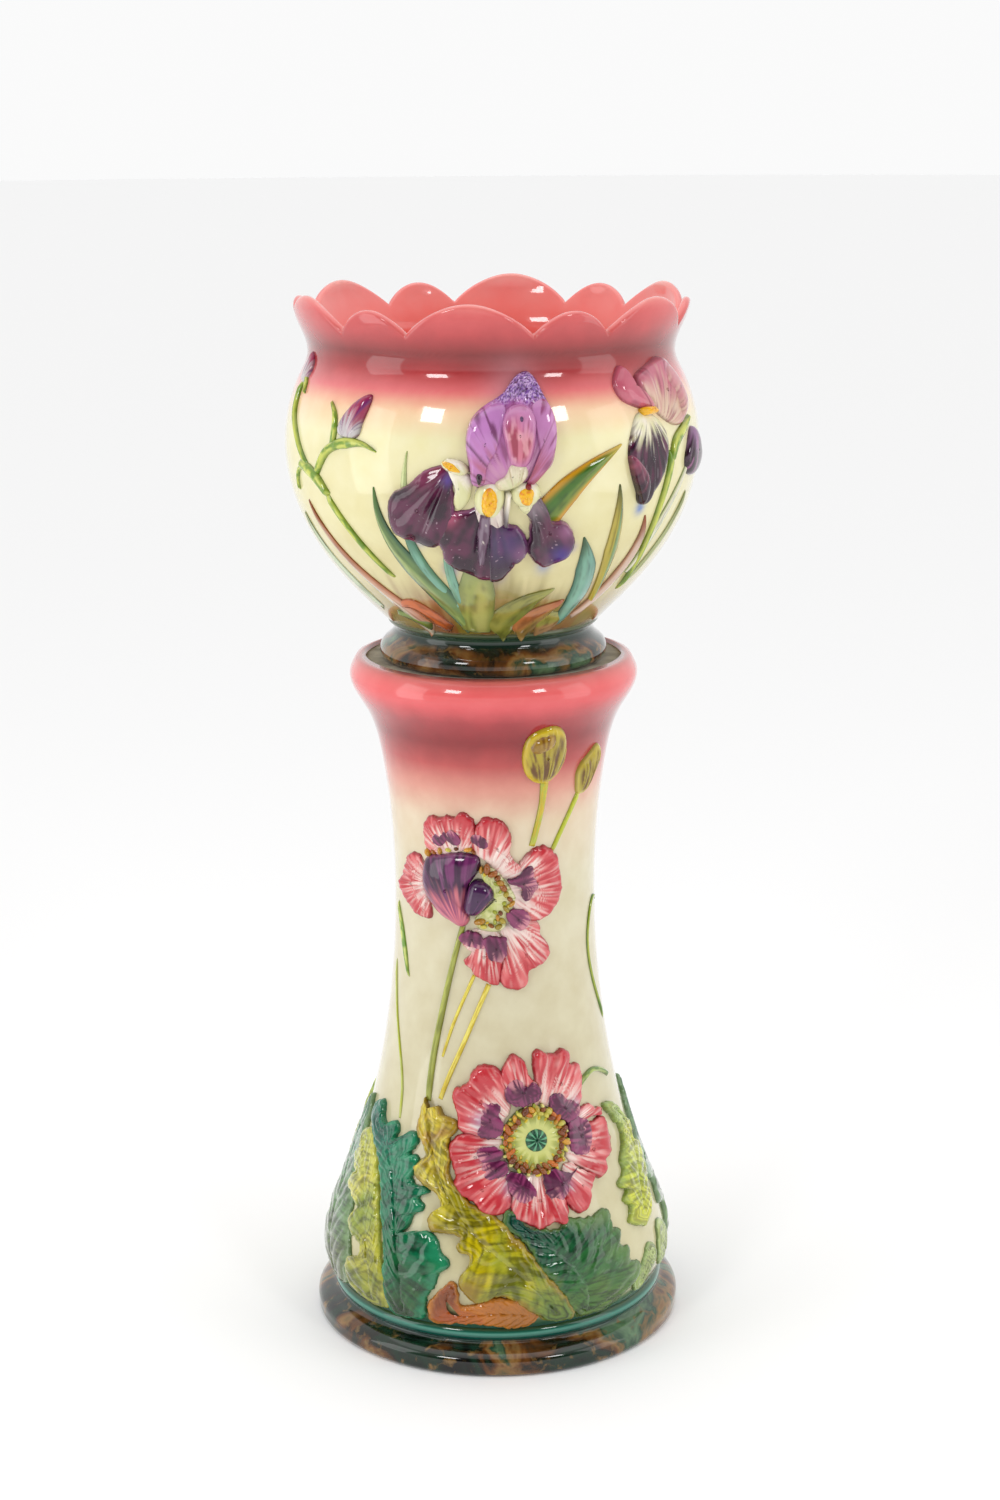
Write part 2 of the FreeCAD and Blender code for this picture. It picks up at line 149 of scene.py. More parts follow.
# ---------------- walls
def smooth_curve(points, count):
    """Even steps along a smooth curve through points, as rows."""
    knots = np.array(points, float)
    chord = np.concatenate([[0], np.cumsum(np.linalg.norm(np.diff(knots, axis=0), axis=1))])
    last = len(knots) - 1
    spans = np.diff(chord)
    system, side = np.eye(last + 1), np.zeros_like(knots)
    for i in range(1, last):
        system[i, i - 1:i + 2] = spans[i - 1], 2 * (spans[i - 1] + spans[i]), spans[i]
        side[i] = 6 * ((knots[i + 1] - knots[i]) / spans[i] - (knots[i] - knots[i - 1]) / spans[i - 1])
    bend = np.linalg.solve(system, side)
    along = np.linspace(0, chord[-1], count)
    i = np.clip(np.searchsorted(chord, along, side="right") - 1, 0, last - 1)
    span, a = spans[i][:, None], (chord[i + 1] - along)[:, None]
    b = (along - chord[i])[:, None]
    bulge = (bend[i] * a ** 3 + bend[i + 1] * b ** 3) / (6 * span)
    first = (knots[i] / span - bend[i] * span / 6) * a
    second = (knots[i + 1] / span - bend[i + 1] * span / 6) * b
    return bulge + first + second


def smooth_ring(points, count):
    """Even steps round a smooth closed curve through points."""
    points = [tuple(point) for point in points]
    knots = np.array(points[-3:] + points + points[:4])
    chord = np.concatenate([[0], np.cumsum(np.linalg.norm(np.diff(knots, axis=0), axis=1))])
    samples = 40 * len(knots)
    along = np.linspace(0, chord[-1], samples)
    lap = (along >= chord[3]) & (along <= chord[3 + len(points)])
    loop = smooth_curve(knots, samples)[lap]
    walked = np.concatenate([[0], np.cumsum(np.linalg.norm(np.diff(loop, axis=0), axis=1))])
    at = np.linspace(0, walked[-1], count, endpoint=False)
    return np.stack([np.interp(at, walked, loop[:, 0]), np.interp(at, walked, loop[:, 1])], -1)


class Wall:
    """A round wall's outer face."""

    def __init__(self, profile):
        self.radii, self.heights = smooth_curve(profile, 900).T
        along = np.stack([np.gradient(self.radii), np.gradient(self.heights)])
        self.out, self.down = along[::-1] / np.linalg.norm(along, axis=0)
        self.up = -self.down

    def radius(self, height):
        return np.interp(height, self.heights, self.radii)

    def points(self, azimuth, height, lift=0.0):
        """Points over the wall, lifted off it along its normal."""
        radius = self.radius(height) + lift * np.interp(height, self.heights, self.out)
        z = height + lift * np.interp(height, self.heights, self.up)
        angle = np.radians(azimuth)
        return np.stack([radius * np.sin(angle), -radius * np.cos(angle), z + 0 * angle], -1)


BOWL = Wall(BOWL_PROFILE)
STAND = Wall(STAND_PROFILE)


# ---------------- meshes
def make_object(name, points, faces, body, nodes, material, colours=None, layers=None):
    """A smooth-shaded piece that rides a body and stands for CAD nodes."""
    mesh = bpy.data.meshes.new(name)
    mesh.from_pydata((np.asarray(points) * MM).tolist(), [], faces)
    mesh.polygons.foreach_set("use_smooth", [True] * len(mesh.polygons))
    if colours is not None:
        paint = mesh.attributes.new("paint", "FLOAT_COLOR", "POINT")
        paint.data.foreach_set("color", np.column_stack([colours, np.ones(len(colours))]).ravel())
    for layer, values in (layers or {}).items():
        data = mesh.attributes.new(layer, "FLOAT", "POINT").data
        data.foreach_set("value", np.asarray(values, float).ravel())
    mesh.materials.append(material)
    mesh.update()
    piece = bpy.data.objects.new(name, mesh)
    bpy.context.scene.collection.objects.link(piece)
    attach(piece, body)
    if nodes:
        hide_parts(*nodes)
    return piece


def grid_faces(rows, columns, closed):
    """Quads between the rows of a grid of points. Closed grids join the last column to the first."""
    here = np.arange(rows * columns).reshape(rows, columns)
    there = np.roll(here, -1, axis=1)
    if not closed:
        here, there = here[:, :-1], there[:, :-1]
    quads = np.stack([here[:-1], there[:-1], there[1:], here[1:]], -1)
    return quads.reshape(-1, 4).tolist()


def turned_points(rings):
    """Points of a turned skin: rings are (radius, height), each a number or one value per column."""
    angle = np.linspace(0, 2 * math.pi, COLUMNS, endpoint=False)
    return np.array([
        np.stack([r * np.sin(angle), -r * np.cos(angle), z + 0 * angle], -1) for r, z in rings])


# ---------------- materials
class Nodes:
    """Short calls for building one material."""

    def __init__(self, name):
        self.material = bpy.data.materials.new(name)
        self.material.use_nodes = True
        self.tree = self.material.node_tree
        self.shader = self.tree.nodes["Principled BSDF"]

    def node(self, kind, **settings):
        made = self.tree.nodes.new(kind)
        for key, value in settings.items():
            if key in made.bl_rna.properties:
                setattr(made, key, value)
            else:
                made.inputs[key.replace("_", " ")].default_value = value
        return made

    def link(self, source, target):
        self.tree.links.new(source, target)

    def noise(self, scale, detail, distortion=0.0):
        made = self.node("ShaderNodeTexNoise", Scale=scale, Detail=detail, Distortion=distortion)
        place = self.node("ShaderNodeTexCoord").outputs["Object"]
        self.link(place, made.inputs["Vector"])
        return made.outputs["Fac"]

    def ramp(self, source, stops):
        made = self.node("ShaderNodeValToRGB")
        elements = made.color_ramp.elements
        while len(elements) < len(stops):
            elements.new(0.5)
        for element, (place, colour) in zip(elements, stops):
            element.position = place
            element.color = (*rgb(colour), 1)
        self.link(source, made.inputs["Fac"])
        return made.outputs["Color"]

    def blend(self, kind, share, first, second):
        made = self.node("ShaderNodeMix", data_type="RGBA", blend_type=kind)
        for socket, value in ((made.inputs[0], share), (made.inputs[6], first), (made.inputs[7], second)):
            if isinstance(value, bpy.types.NodeSocket):
                self.link(value, socket)
            elif socket.type == "RGBA":
                socket.default_value = (*rgb(value), 1)
            else:
                socket.default_value = value
        return made.outputs[2]

    def bump(self, height, strength, distance):
        """Uneven surface from a height, on the shader's normal."""
        made = self.node("ShaderNodeBump", Strength=strength, Distance=distance)
        self.link(height, made.inputs["Height"])
        self.link(made.outputs["Normal"], self.shader.inputs["Normal"])

    def set(self, **values):
        """Constants on the shader's own sockets."""
        for key, value in values.items():
            self.shader.inputs[key.replace("_", " ")].default_value = value

    def gloss(self, roughness):
        self.set(Roughness=roughness, Coat_Weight=COAT, Coat_Roughness=COAT_ROUGHNESS, IOR=GLAZE_IOR,
                 Specular_IOR_Level=GLAZE_SPECULAR)


def painted_glaze(name):
    """Clear gloss over painted colour, with faint clouding in the glaze and a slightly uneven surface."""
    m = Nodes(name)
    paint = m.node("ShaderNodeAttribute", attribute_name="paint").outputs["Color"]
    cloud = m.ramp(m.noise(38, 4), [(0.3, (0.45,) * 3), (0.7, (0.55,) * 3)])
    m.link(m.blend("OVERLAY", 1.0, paint, cloud), m.shader.inputs["Base Color"])
    m.gloss(0.14)
    m.bump(m.noise(26, 2), 0.25, 0.0012)
    return m.material


def tortoiseshell_glaze(name):
    """Brown, green and black glazes run into each other, over the painted ground colour."""
    m = Nodes(name)
    paint = m.node("ShaderNodeAttribute", attribute_name="paint").outputs["Color"]
    held = m.node("ShaderNodeAttribute", attribute_name="mottle").outputs["Fac"]
    flow = m.noise(11, 5, distortion=1.2)
    colour = m.ramp(flow, [(0.33, "0a0907"), (0.41, "143020"), (0.47, "1a160c"),
                           (0.52, "683e18"), (0.56, "8c6838"), (0.6, "1e422e"),
                           (0.66, "60805c"), (0.72, "121810")])
    specks = m.ramp(m.noise(80, 4, distortion=0.5), [(0.56, (0, 0, 0)), (0.7, (1, 1, 1))])
    colour = m.blend("MIX", specks, colour, "7e6034")
    m.link(m.blend("MIX", held, paint, colour), m.shader.inputs["Base Color"])
    m.gloss(0.12)
    m.bump(m.noise(40, 2), 0.3, 0.001)
    return m.material


def bisque(name):
    """Bare fired clay, dusty and rough."""
    m = Nodes(name)
    colour = m.ramp(m.noise(60, 8), [(0.3, "968f80"), (0.6, "bcb5a5")])
    m.link(colour, m.shader.inputs["Base Color"])
    m.set(Roughness=0.85)
    m.bump(m.noise(300, 4), 0.5, 0.0006)
    return m.material


GLAZE = painted_glaze("painted_glaze")
MOTTLE = tortoiseshell_glaze("tortoiseshell_glaze")
CLAY = bisque("bisque")

ROSE = "be4648"
CREAM = "eee6b6"


# ---------------- turned skins
def turned_skin(name, body, node, material, grid, colours, layers=None):
    faces = grid_faces(len(grid), COLUMNS, True)
    make_object(name, grid.reshape(-1, 3), faces, body, [node], material,
                colours.reshape(-1, 3), layers)


def rim_tops():
    """Height of the scalloped edge at each column."""
    azimuth = np.linspace(0, 360, COLUMNS, endpoint=False)
    pair = 360 / LOBE_PAIRS
    within = (azimuth - (WIDE_LOBE_AZIMUTH - WIDE_LOBE_ANGLE / 2)) % pair
    wide = within < WIDE_LOBE_ANGLE
    share = np.where(wide, within / WIDE_LOBE_ANGLE, (within - WIDE_LOBE_ANGLE) / (pair - WIDE_LOBE_ANGLE))
    peak = np.where(wide, WIDE_LOBE_TOP, NARROW_LOBE_TOP)
    return VALLEY_TOP + (peak - VALLEY_TOP) * np.sin(np.pi * share) ** 0.9


def halo(ground, azimuth, heights):
    """Violet and blue glaze that has run off the dark petals on to the cream, on both faces."""
    for place, size, tint, share in (
            ((-21, 836), 7, "6e78be", 0.7), ((-13, 806), 8, "5a60aa", 0.7), ((2, 800), 8, "544682", 0.6),
            ((16, 810), 8, "6e82be", 0.7), ((45, 858), 6, "3c6ebe", 0.9), ((-28, 858), 5, "6e64aa", 0.6),
            ((24, 826), 5, "8c78b4", 0.6), ((-43, 926), 6, "78a0ce", 0.6), ((6, 972), 24, "e2bec8", 0.35)):
        away = np.hypot((azimuth - place[0]) * 3.3, heights - place[1])
        ground = mix(ground, tint, share * np.exp(-(away / size) ** 2))
    return ground


def bowl_lip(tops):
    """Rings over the rounded lip, from the outer face to the inner one."""
    out, up = np.interp(tops, BOWL.heights, BOWL.out), np.interp(tops, BOWL.heights, BOWL.up)
    middle_r, middle_z = BOWL.radius(tops) - out * BOWL_WALL / 2, tops - up * BOWL_WALL / 2
    rings = []
    for turn in np.linspace(0, math.pi, LIP_RINGS + 2)[1:-1]:
        across, rise = math.cos(turn) * BOWL_WALL / 2, math.sin(turn) * BOWL_WALL / 2
        rings.append((middle_r + out * across - up * rise, middle_z + up * across + out * rise))
    return rings


def bowl_inside(tops):
    """Rings down the even wall to the flat floor."""
    rings = []
    for share in np.linspace(0, 1, 44):
        z = tops + (BOWL_FLOOR_TOP + 6 - tops) * share
        out, up = np.interp(z, BOWL.heights, BOWL.out), np.interp(z, BOWL.heights, BOWL.up)
        rings.append((BOWL.radius(z) - out * BOWL_WALL, np.maximum(z - up * BOWL_WALL, BOWL_FLOOR_TOP)))
    return rings + [(r, BOWL_FLOOR_TOP) for r in (70, 40, 0)]


def bowl_outer_colours(azimuth, heights):
    """Cream turning rose and maroon at the neck, with an earthy wash under the iris."""
    colours = ramp(heights, [(730, "968046"), (752, "b09e60"), (785, "cec28c"), (850, "e2d9a4"),
        (930, CREAM), (954, "f6cea6"), (971, "e67476"), (988, "ac3a3c"), (1004, "822222"), (1022, ROSE),
        (1040, "d65c5c"), (1050, "ec827c")])
    wash = grain(azimuth * 0.35 + 90, heights * 0.015, 521)
    share = step(806, 742, heights + 60 * (wash - 0.5)) * step(70, 20, np.abs(azimuth))
    earth = mix("786822", "824a22", step(0.4, 0.6, noise(azimuth * 0.2 + 90, 0 * heights, 524)))
    return halo(mix(colours, earth, 0.95 * share), azimuth, heights)


def bowl_skin():
    """Bowl with a rounded scalloped lip, an even wall and a flat floor."""
    tops = rim_tops() - BOWL_WALL / 2
    rings = [(r, BOWL_BASE) for r in (0, 40, 80, BOWL_PROFILE[0][0] - 1.5)]
    outer = [BOWL_BASE + (tops - BOWL_BASE) * share for share in np.linspace(0, 1, 84)[1:]]
    rings += [(BOWL.radius(z), z) for z in outer] + bowl_lip(tops)
    lips = len(rings)
    grid = turned_points(rings + bowl_inside(tops))
    heights = grid[..., 2]
    inside = np.zeros(grid.shape[:2])
    inside[lips - 8:lips] = np.linspace(0, 1, 8)[:, None]
    inside[lips:] = 1
    azimuth = (np.degrees(np.arctan2(grid[..., 0], -grid[..., 1])) + 90) % 180 - 90
    within = ramp(heights, [(742, "d86e60"), (900, "f6786c"), (1010, "fe847c"), (1040, "fe9690"),
        (1050, "feb0a6")])
    turned_skin("bowl_skin", "jardiniere", "bowl", GLAZE, grid,
                mix(bowl_outer_colours(azimuth, heights), within, inside))


def stand_skin():
    """Hollow column with a rolled top."""
    seat_bottom = SEAT_TOP - SEAT_THICKNESS
    rings = list(zip(STAND.radii[::6], STAND.heights[::6]))
    rings += [(SEAT_RADIUS, SEAT_TOP + 4), (SEAT_RADIUS, seat_bottom)]
    rings.append((SEAT_RADIUS - STAND_WALL, seat_bottom))
    for i in range(840, -1, -20):
        r, z = STAND.radii[i] - STAND.out[i] * STAND_WALL, STAND.heights[i] - STAND.up[i] * STAND_WALL
        if z < seat_bottom - 30:
            rings.append((r, max(z, STAND_PROFILE[0][1])))
    grid = turned_points(rings + rings[:1])
    colours = ramp(grid[..., 2], [(43, "10463a"), (50, "467054"), (62, "beb886"), (84, "d4cca2"),
        (300, "d4cba8"), (480, "dad1b0"), (545, "e2cdae"), (578, "dc9684"), (604, "ba4a48"),
        (628, "8c2024"), (650, "a83238"), (668, "e25c60"), (682, "f06c6c"), (697, "ce6e68")])
    turned_skin("stand_skin", "stand", "stand_column", GLAZE, grid, colours)


def run_edge(grid, shift, waves):
    """Uneven height of the line where two glazes meet, all round: waves are (height, count, seed)."""
    turn = np.arctan2(grid[..., 0], grid[..., 1])
    east, north = np.sin(turn), np.cos(turn)
    return sum(height * (noise(east * count + shift, north * count + shift, seed) - 0.5)
               for height, count, seed in waves)


def foot_skin():
    """Foot ring with a bead under the bowl: mottled brown below, a dark green band at the neck."""
    profile = smooth_curve([
        (105, 690), (111, 694), (112, 701), (109, 708), (101.5, 715), (98.5, 721), (99.5, 725),
        (104, 729.5), (103, 733)], 60)
    grid = turned_points([*profile, (92, 733), (88, 728), (88, 692), (92, 690), (105, 690)])
    heights = grid[..., 2]
    mottle = step(719, 712, heights + run_edge(grid, 40, [(5, 5, 501), (3, 17, 502)]))
    colours = ramp(heights, [(690, "283c28"), (714, "0e2218"), (721, "10281c"), (726, "22422c"),
        (731, "4c542c")])
    turned_skin("foot_skin", "jardiniere", "bowl_foot", MOTTLE, grid, colours,
        {"mottle": mottle})


def plinth_skin():
    """Stepped base ring: rounded edge, sloping shoulder, cove and bead."""
    edge = smooth_curve([
        (184, 0.4), (187, 3), (187.8, 9), (187.4, 16), (184, 20.5), (177, 24.5), (171, 27), (168.6, 29)],
        50)
    bead = smooth_curve([(168.4, 30.5), (169.9, 33), (170.5, 36.5), (169.6, 40), (167, 43)], 20)
    grid = turned_points([*edge, *bead, (160, 43), (150, 43), (150, 0), (180, 0), (184, 0.4)])
    heights = grid[..., 2]
    mottle = step(31, 27.5, heights + run_edge(grid, 60, [(2.5, 9, 511)]))
    colours = ramp(heights, [(27, "0a2822"), (31, "0e3c34"), (35, "105c4e"), (38, "469682"), (40, "18604c"),
                             (43, "465a32")])
    turned_skin("plinth_skin", "stand", "stand_plinth", MOTTLE, grid, colours,
        {"mottle": mottle})


def seat_finish():
    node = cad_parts["stand_seat"]
    node.data.materials.clear()
    node.data.materials.append(CLAY)


# ---------------- relief pieces
class Relief:
    """Patches of one piece. The finished piece carries them twice, at the front and half a turn round."""

    def __init__(self, wall):
        self.wall = wall
        self.points, self.faces, self.colours, self.count = [], [], [], 0

    def add(self, points, faces, colours):
        self.points.append(points)
        self.colours.append(colours)
        self.faces += [tuple(corner + self.count for corner in face) for face in faces]
        self.count += len(points)

    def make(self, name, body, nodes):
        points, colours = np.concatenate(self.points), np.concatenate(self.colours)
        back = points * [-1, -1, 1]
        faces = self.faces + [tuple(corner + self.count for corner in face) for face in self.faces]
        make_object(name, np.concatenate([points, back]), faces, body, nodes, GLAZE,
                    np.concatenate([colours, colours]))


class Spot:
    """Where the points of a patch are: x, y in millimetres from its centre, t from 0 at the centre to 1 at
    the edge, along from 0 to 1 down its spine, reach and turn about its root."""

    def __init__(self, wall, centre, x, y, t, along, root):
        self.x, self.y, self.t, self.along = x, y, t, along
        self.wall = wall
        per_degree = math.radians(wall.radius(centre[1]))
        self.azimuth, self.height = centre[0] + x / per_degree, centre[1] + y
        root_x, root_y = (root[0] - centre[0]) * per_degree, root[1] - centre[1]
        self.reach = np.hypot(x - root_x, y - root_y)
        self.turn = np.arctan2(x - root_x, y - root_y)

    def near(self, place, size):
        """1 at a place, falling off over a size in millimetres."""
        per_degree = math.radians(self.wall.radius(place[1]))
        away = np.hypot((self.azimuth - place[0]) * per_degree, self.height - place[1])
        return np.exp(-(away / size) ** 2)


def streaks(spot, seed, density=9.0):
    return noise(spot.turn * density + 90, spot.reach * 0.05, seed)


def ragged(edge, size, wave, seed):
    """A closed edge with small uneven teeth, about a wave apart."""
    along = np.roll(edge, -1, axis=0) - np.roll(edge, 1, axis=0)
    out = np.stack([along[:, 1], -along[:, 0]], -1) / np.linalg.norm(along, axis=1)[:, None]
    lap = np.linalg.norm(np.diff(edge, axis=0), axis=1).sum()
    turn = np.linspace(0, 2 * math.pi, len(edge), endpoint=False)
    loop = lap / wave / (2 * math.pi)
    tooth = grain(loop * np.cos(turn) + 90, loop * np.sin(turn) + 90, seed) - 0.5
    return edge + 2 * size * out * tooth[:, None]


def pooled_and_shaded(colours, edge):
    """Colours made deeper round a raised edge, partly glaze pooling and partly painted shade in the crease
    at the relief's foot: edge is 0 inside and 1 at the edge.
    """
    return colours * (1 - POOL_AND_SHADE_DEPTH * step(0.93, 1.0, edge))[..., None]


def disc(relief, outline, lift, paint, root=None, rings=24, pitch=1.3, spine=None, teeth=None):
    """A raised patch inside a smooth closed outline, its edge sunk into the wall. It grows from its middle,
    or from a spine of (azimuth, height)."""
    wall, ring = relief.wall, np.array(outline, float)
    centre = (ring.max(0) + ring.min(0)) / 2
    scale = [math.radians(wall.radius(centre[1])), 1]
    local = (ring - centre) * scale
    lap = np.linalg.norm(np.diff(np.vstack([local, local[:1]]), axis=0), axis=1).sum()
    edge = smooth_ring(local, max(24, int(lap / pitch)))
    if teeth:
        edge = ragged(edge, *teeth)
    line = smooth_curve((np.array(spine, float) - centre) * scale, 400) if spine else np.zeros((1, 2))
    nearest = np.argmin(np.linalg.norm(edge[:, None] - line[None], axis=2), axis=1)
    start = line[nearest]
    t = np.sin(np.linspace(0.0 if spine else 0.04, math.pi / 2, rings))[:, None]
    x, y = (start[None] + t[..., None] * (edge - start)[None]).transpose(2, 0, 1)
    spot = Spot(wall, centre, x, y, t + 0 * x, nearest / len(line) + 0 * x, root or tuple(centre))
    rise = lift(spot) + 0.0
    rise[-1] = -EDGE_SINK
    top = wall.points(spot.azimuth, spot.height, rise)
    low = wall.points(spot.azimuth[-1], spot.height[-1], -SINK)[None]
    points = np.concatenate([top, low]).reshape(-1, 3)
    # Painted shade, together with pooled glaze, darkens the patch's outer ring.
    colours = pooled_and_shaded(paint(spot), spot.t)
    colours = np.concatenate([colours, colours[-1:]]).reshape(-1, 3)
    faces = grid_faces(rings + 1, len(edge), True)
    if not spine:
        last = len(points)
        faces += [(last, i, (i + 1) % len(edge)) for i in range(len(edge))]
        points = np.vstack([points, wall.points(*centre, float(rise[0].mean()))])
        colours = np.vstack([colours, colours[:1]])
    relief.add(points, faces, colours)


def ribbon_faces(steps, columns):
    """Faces of a strip's top and underside, its two ends and its two edges."""
    count = steps * columns
    faces = [face[::-1] for face in grid_faces(steps, columns, False)]
    faces += [tuple(corner + count for corner in face) for face in grid_faces(steps, columns, False)]
    for a, b in zip(range(columns - 1), range(1, columns)):
        faces.append((a, b, b + count, a + count))
        faces.append((count - columns + b, count - columns + a, 2 * count - columns + a,
            2 * count - columns + b))
    for a in range(0, count - columns, columns):
        b, c = a + columns, a + columns - 1
        faces.append((b, a, a + count, b + count))
        faces.append((c, c + columns, c + columns + count, c + count))
    return faces


def ribbon(relief, spine, left, right, lift, paint, pitch=1.6):
    """A raised strip along a spine of (azimuth, height). Its half widths are given at the spine's points.
    lift and paint take v, from 0 to 1 along the spine, and u, from -1 at the left edge to 1 at the right."""
    wall, middle = relief.wall, np.mean(spine, axis=0)
    per_degree = math.radians(wall.radius(middle[1]))
    local = (np.array(spine, float) - middle) * [per_degree, 1]
    steps = max(12, int(np.linalg.norm(np.diff(local, axis=0), axis=1).sum() / pitch))
    line = smooth_curve(local, steps)
    along = np.gradient(line, axis=0)
    along /= np.linalg.norm(along, axis=1)[:, None]
    side = np.stack([along[:, 1], -along[:, 0]], -1)
    v = np.linspace(0, 1, steps)[:, None]
    u = np.sin(np.linspace(-math.pi / 2, math.pi / 2, RIBBON_COLUMNS))[None]
    half_left, half_right = (np.interp(v, np.linspace(0, 1, len(half)), half) for half in (left, right))
    across = u * np.where(u < 0, half_left, half_right)
    x, y = (line[:, None] + side[:, None] * across[..., None]).transpose(2, 0, 1)
    azimuth, height = middle[0] + x / per_degree, middle[1] + y
    v, u = np.broadcast_arrays(v, u)
    rise = lift(v, u) + 0.0
    rise[:, 0] = rise[:, -1] = -EDGE_SINK
    rise[0] = np.minimum(rise[0], 0)
    rise[-1] = np.minimum(rise[-1], 0)
    top, low = wall.points(azimuth, height, rise), wall.points(azimuth, height, -SINK)
    # Painted shade, together with pooled glaze, darkens the strip's edges.
    colours = pooled_and_shaded(paint(v, u), np.abs(u) ** 0.5).reshape(-1, 3)
    relief.add(np.concatenate([top.reshape(-1, 3), low.reshape(-1, 3)]),
        ribbon_faces(steps, RIBBON_COLUMNS), np.concatenate([colours] * 2))


def blobs(relief, places, size, lift, colours, seed):
    """Small rounded lumps, one at each (azimuth, height)."""
    random = np.random.default_rng(seed)
    for azimuth, height in places:
        radius = size * random.uniform(0.7, 1.25)
        per_degree = math.radians(relief.wall.radius(height))
        tilt = random.uniform(0, 2 * math.pi)
        long, short = radius * random.uniform(1.0, 1.6), radius * BLOB_NARROWING
        turn = np.linspace(0, 2 * math.pi, BLOB_COLUMNS, endpoint=False)
        x, y = long * np.cos(turn), short * np.sin(turn)
        x, y = x * math.cos(tilt) - y * math.sin(tilt), x * math.sin(tilt) + y * math.cos(tilt)
        rows = []
        for shrink, rise in BLOB_RINGS:
            over = lift + rise * radius * BLOB_HEIGHT if rise else -SINK
            rows.append(relief.wall.points(azimuth + x * shrink / per_degree, height + y * shrink, over))
        colour = rgb(colours[random.integers(len(colours))]) * random.uniform(0.75, 1.2)
        count = len(rows) * BLOB_COLUMNS
        faces = grid_faces(len(rows), BLOB_COLUMNS, True)
        faces += [tuple(range(count - BLOB_COLUMNS, count)), tuple(range(BLOB_COLUMNS))[::-1]]
        relief.add(np.concatenate(rows), faces, np.broadcast_to(colour, (count, 3)))


def pillow(height, sharpness=4.0):
    return lambda spot: height * rounded(spot.t, sharpness)


def flat(colour):
    return lambda spot: np.broadcast_to(rgb(colour), spot.x.shape + (3,))


# ---------------- colours of the flowers and leaves
PLUM = "2c0e22"
WINE = "581e3e"
MAUVE = "a86896"
VIOLET = "543a8c"
MILK = "f6eede"
PALE_GREEN = "dedca8"
AMBER = "f4b816"
ORANGE = "e27e18"
GOLD = "ceb428"
LIME = "b2ba3e"
GREEN = "548028"
SEA = "78aa92"
MIST = "c4d0b0"


def petal_paint(base, tip, first, last, seed, vein=None, density=9.0):
    """Streaks running out from the petal's root, from the base colour to the tip colour."""
    def paint(spot):
        wide, fine = streaks(spot, seed, density), streaks(spot, seed + 1, density * 3.1)
        share = (spot.reach - first) / (last - first) + 0.5 * (wide - 0.5) + 0.35 * (fine - 0.5)
        colour = mix(base, tip, step(0.15, 0.85, share))
        if vein:
            colour = mix(colour, vein, 0.75 * step(0.62, 0.9, streaks(spot, seed + 2, density * 2.2)))
        return colour
    return paint


def ruffled(height, seed, first, last, density=6.0, ruffle=1.6, low=0.35):
    """Lift of a petal that rises from its root to a rounded, rippled edge."""
    def lift(spot):
        out = np.clip((spot.reach - first) / (last - first), 0, 1)
        ripple = ruffle * (streaks(spot, seed, density) - 0.5) * out
        ribs = 0.5 * (streaks(spot, seed + 1, density * 3) - 0.5)
        return (height * (low + (1 - low) * out) + ripple * 2 + ribs) * rounded(spot.t, 7)
    return lift


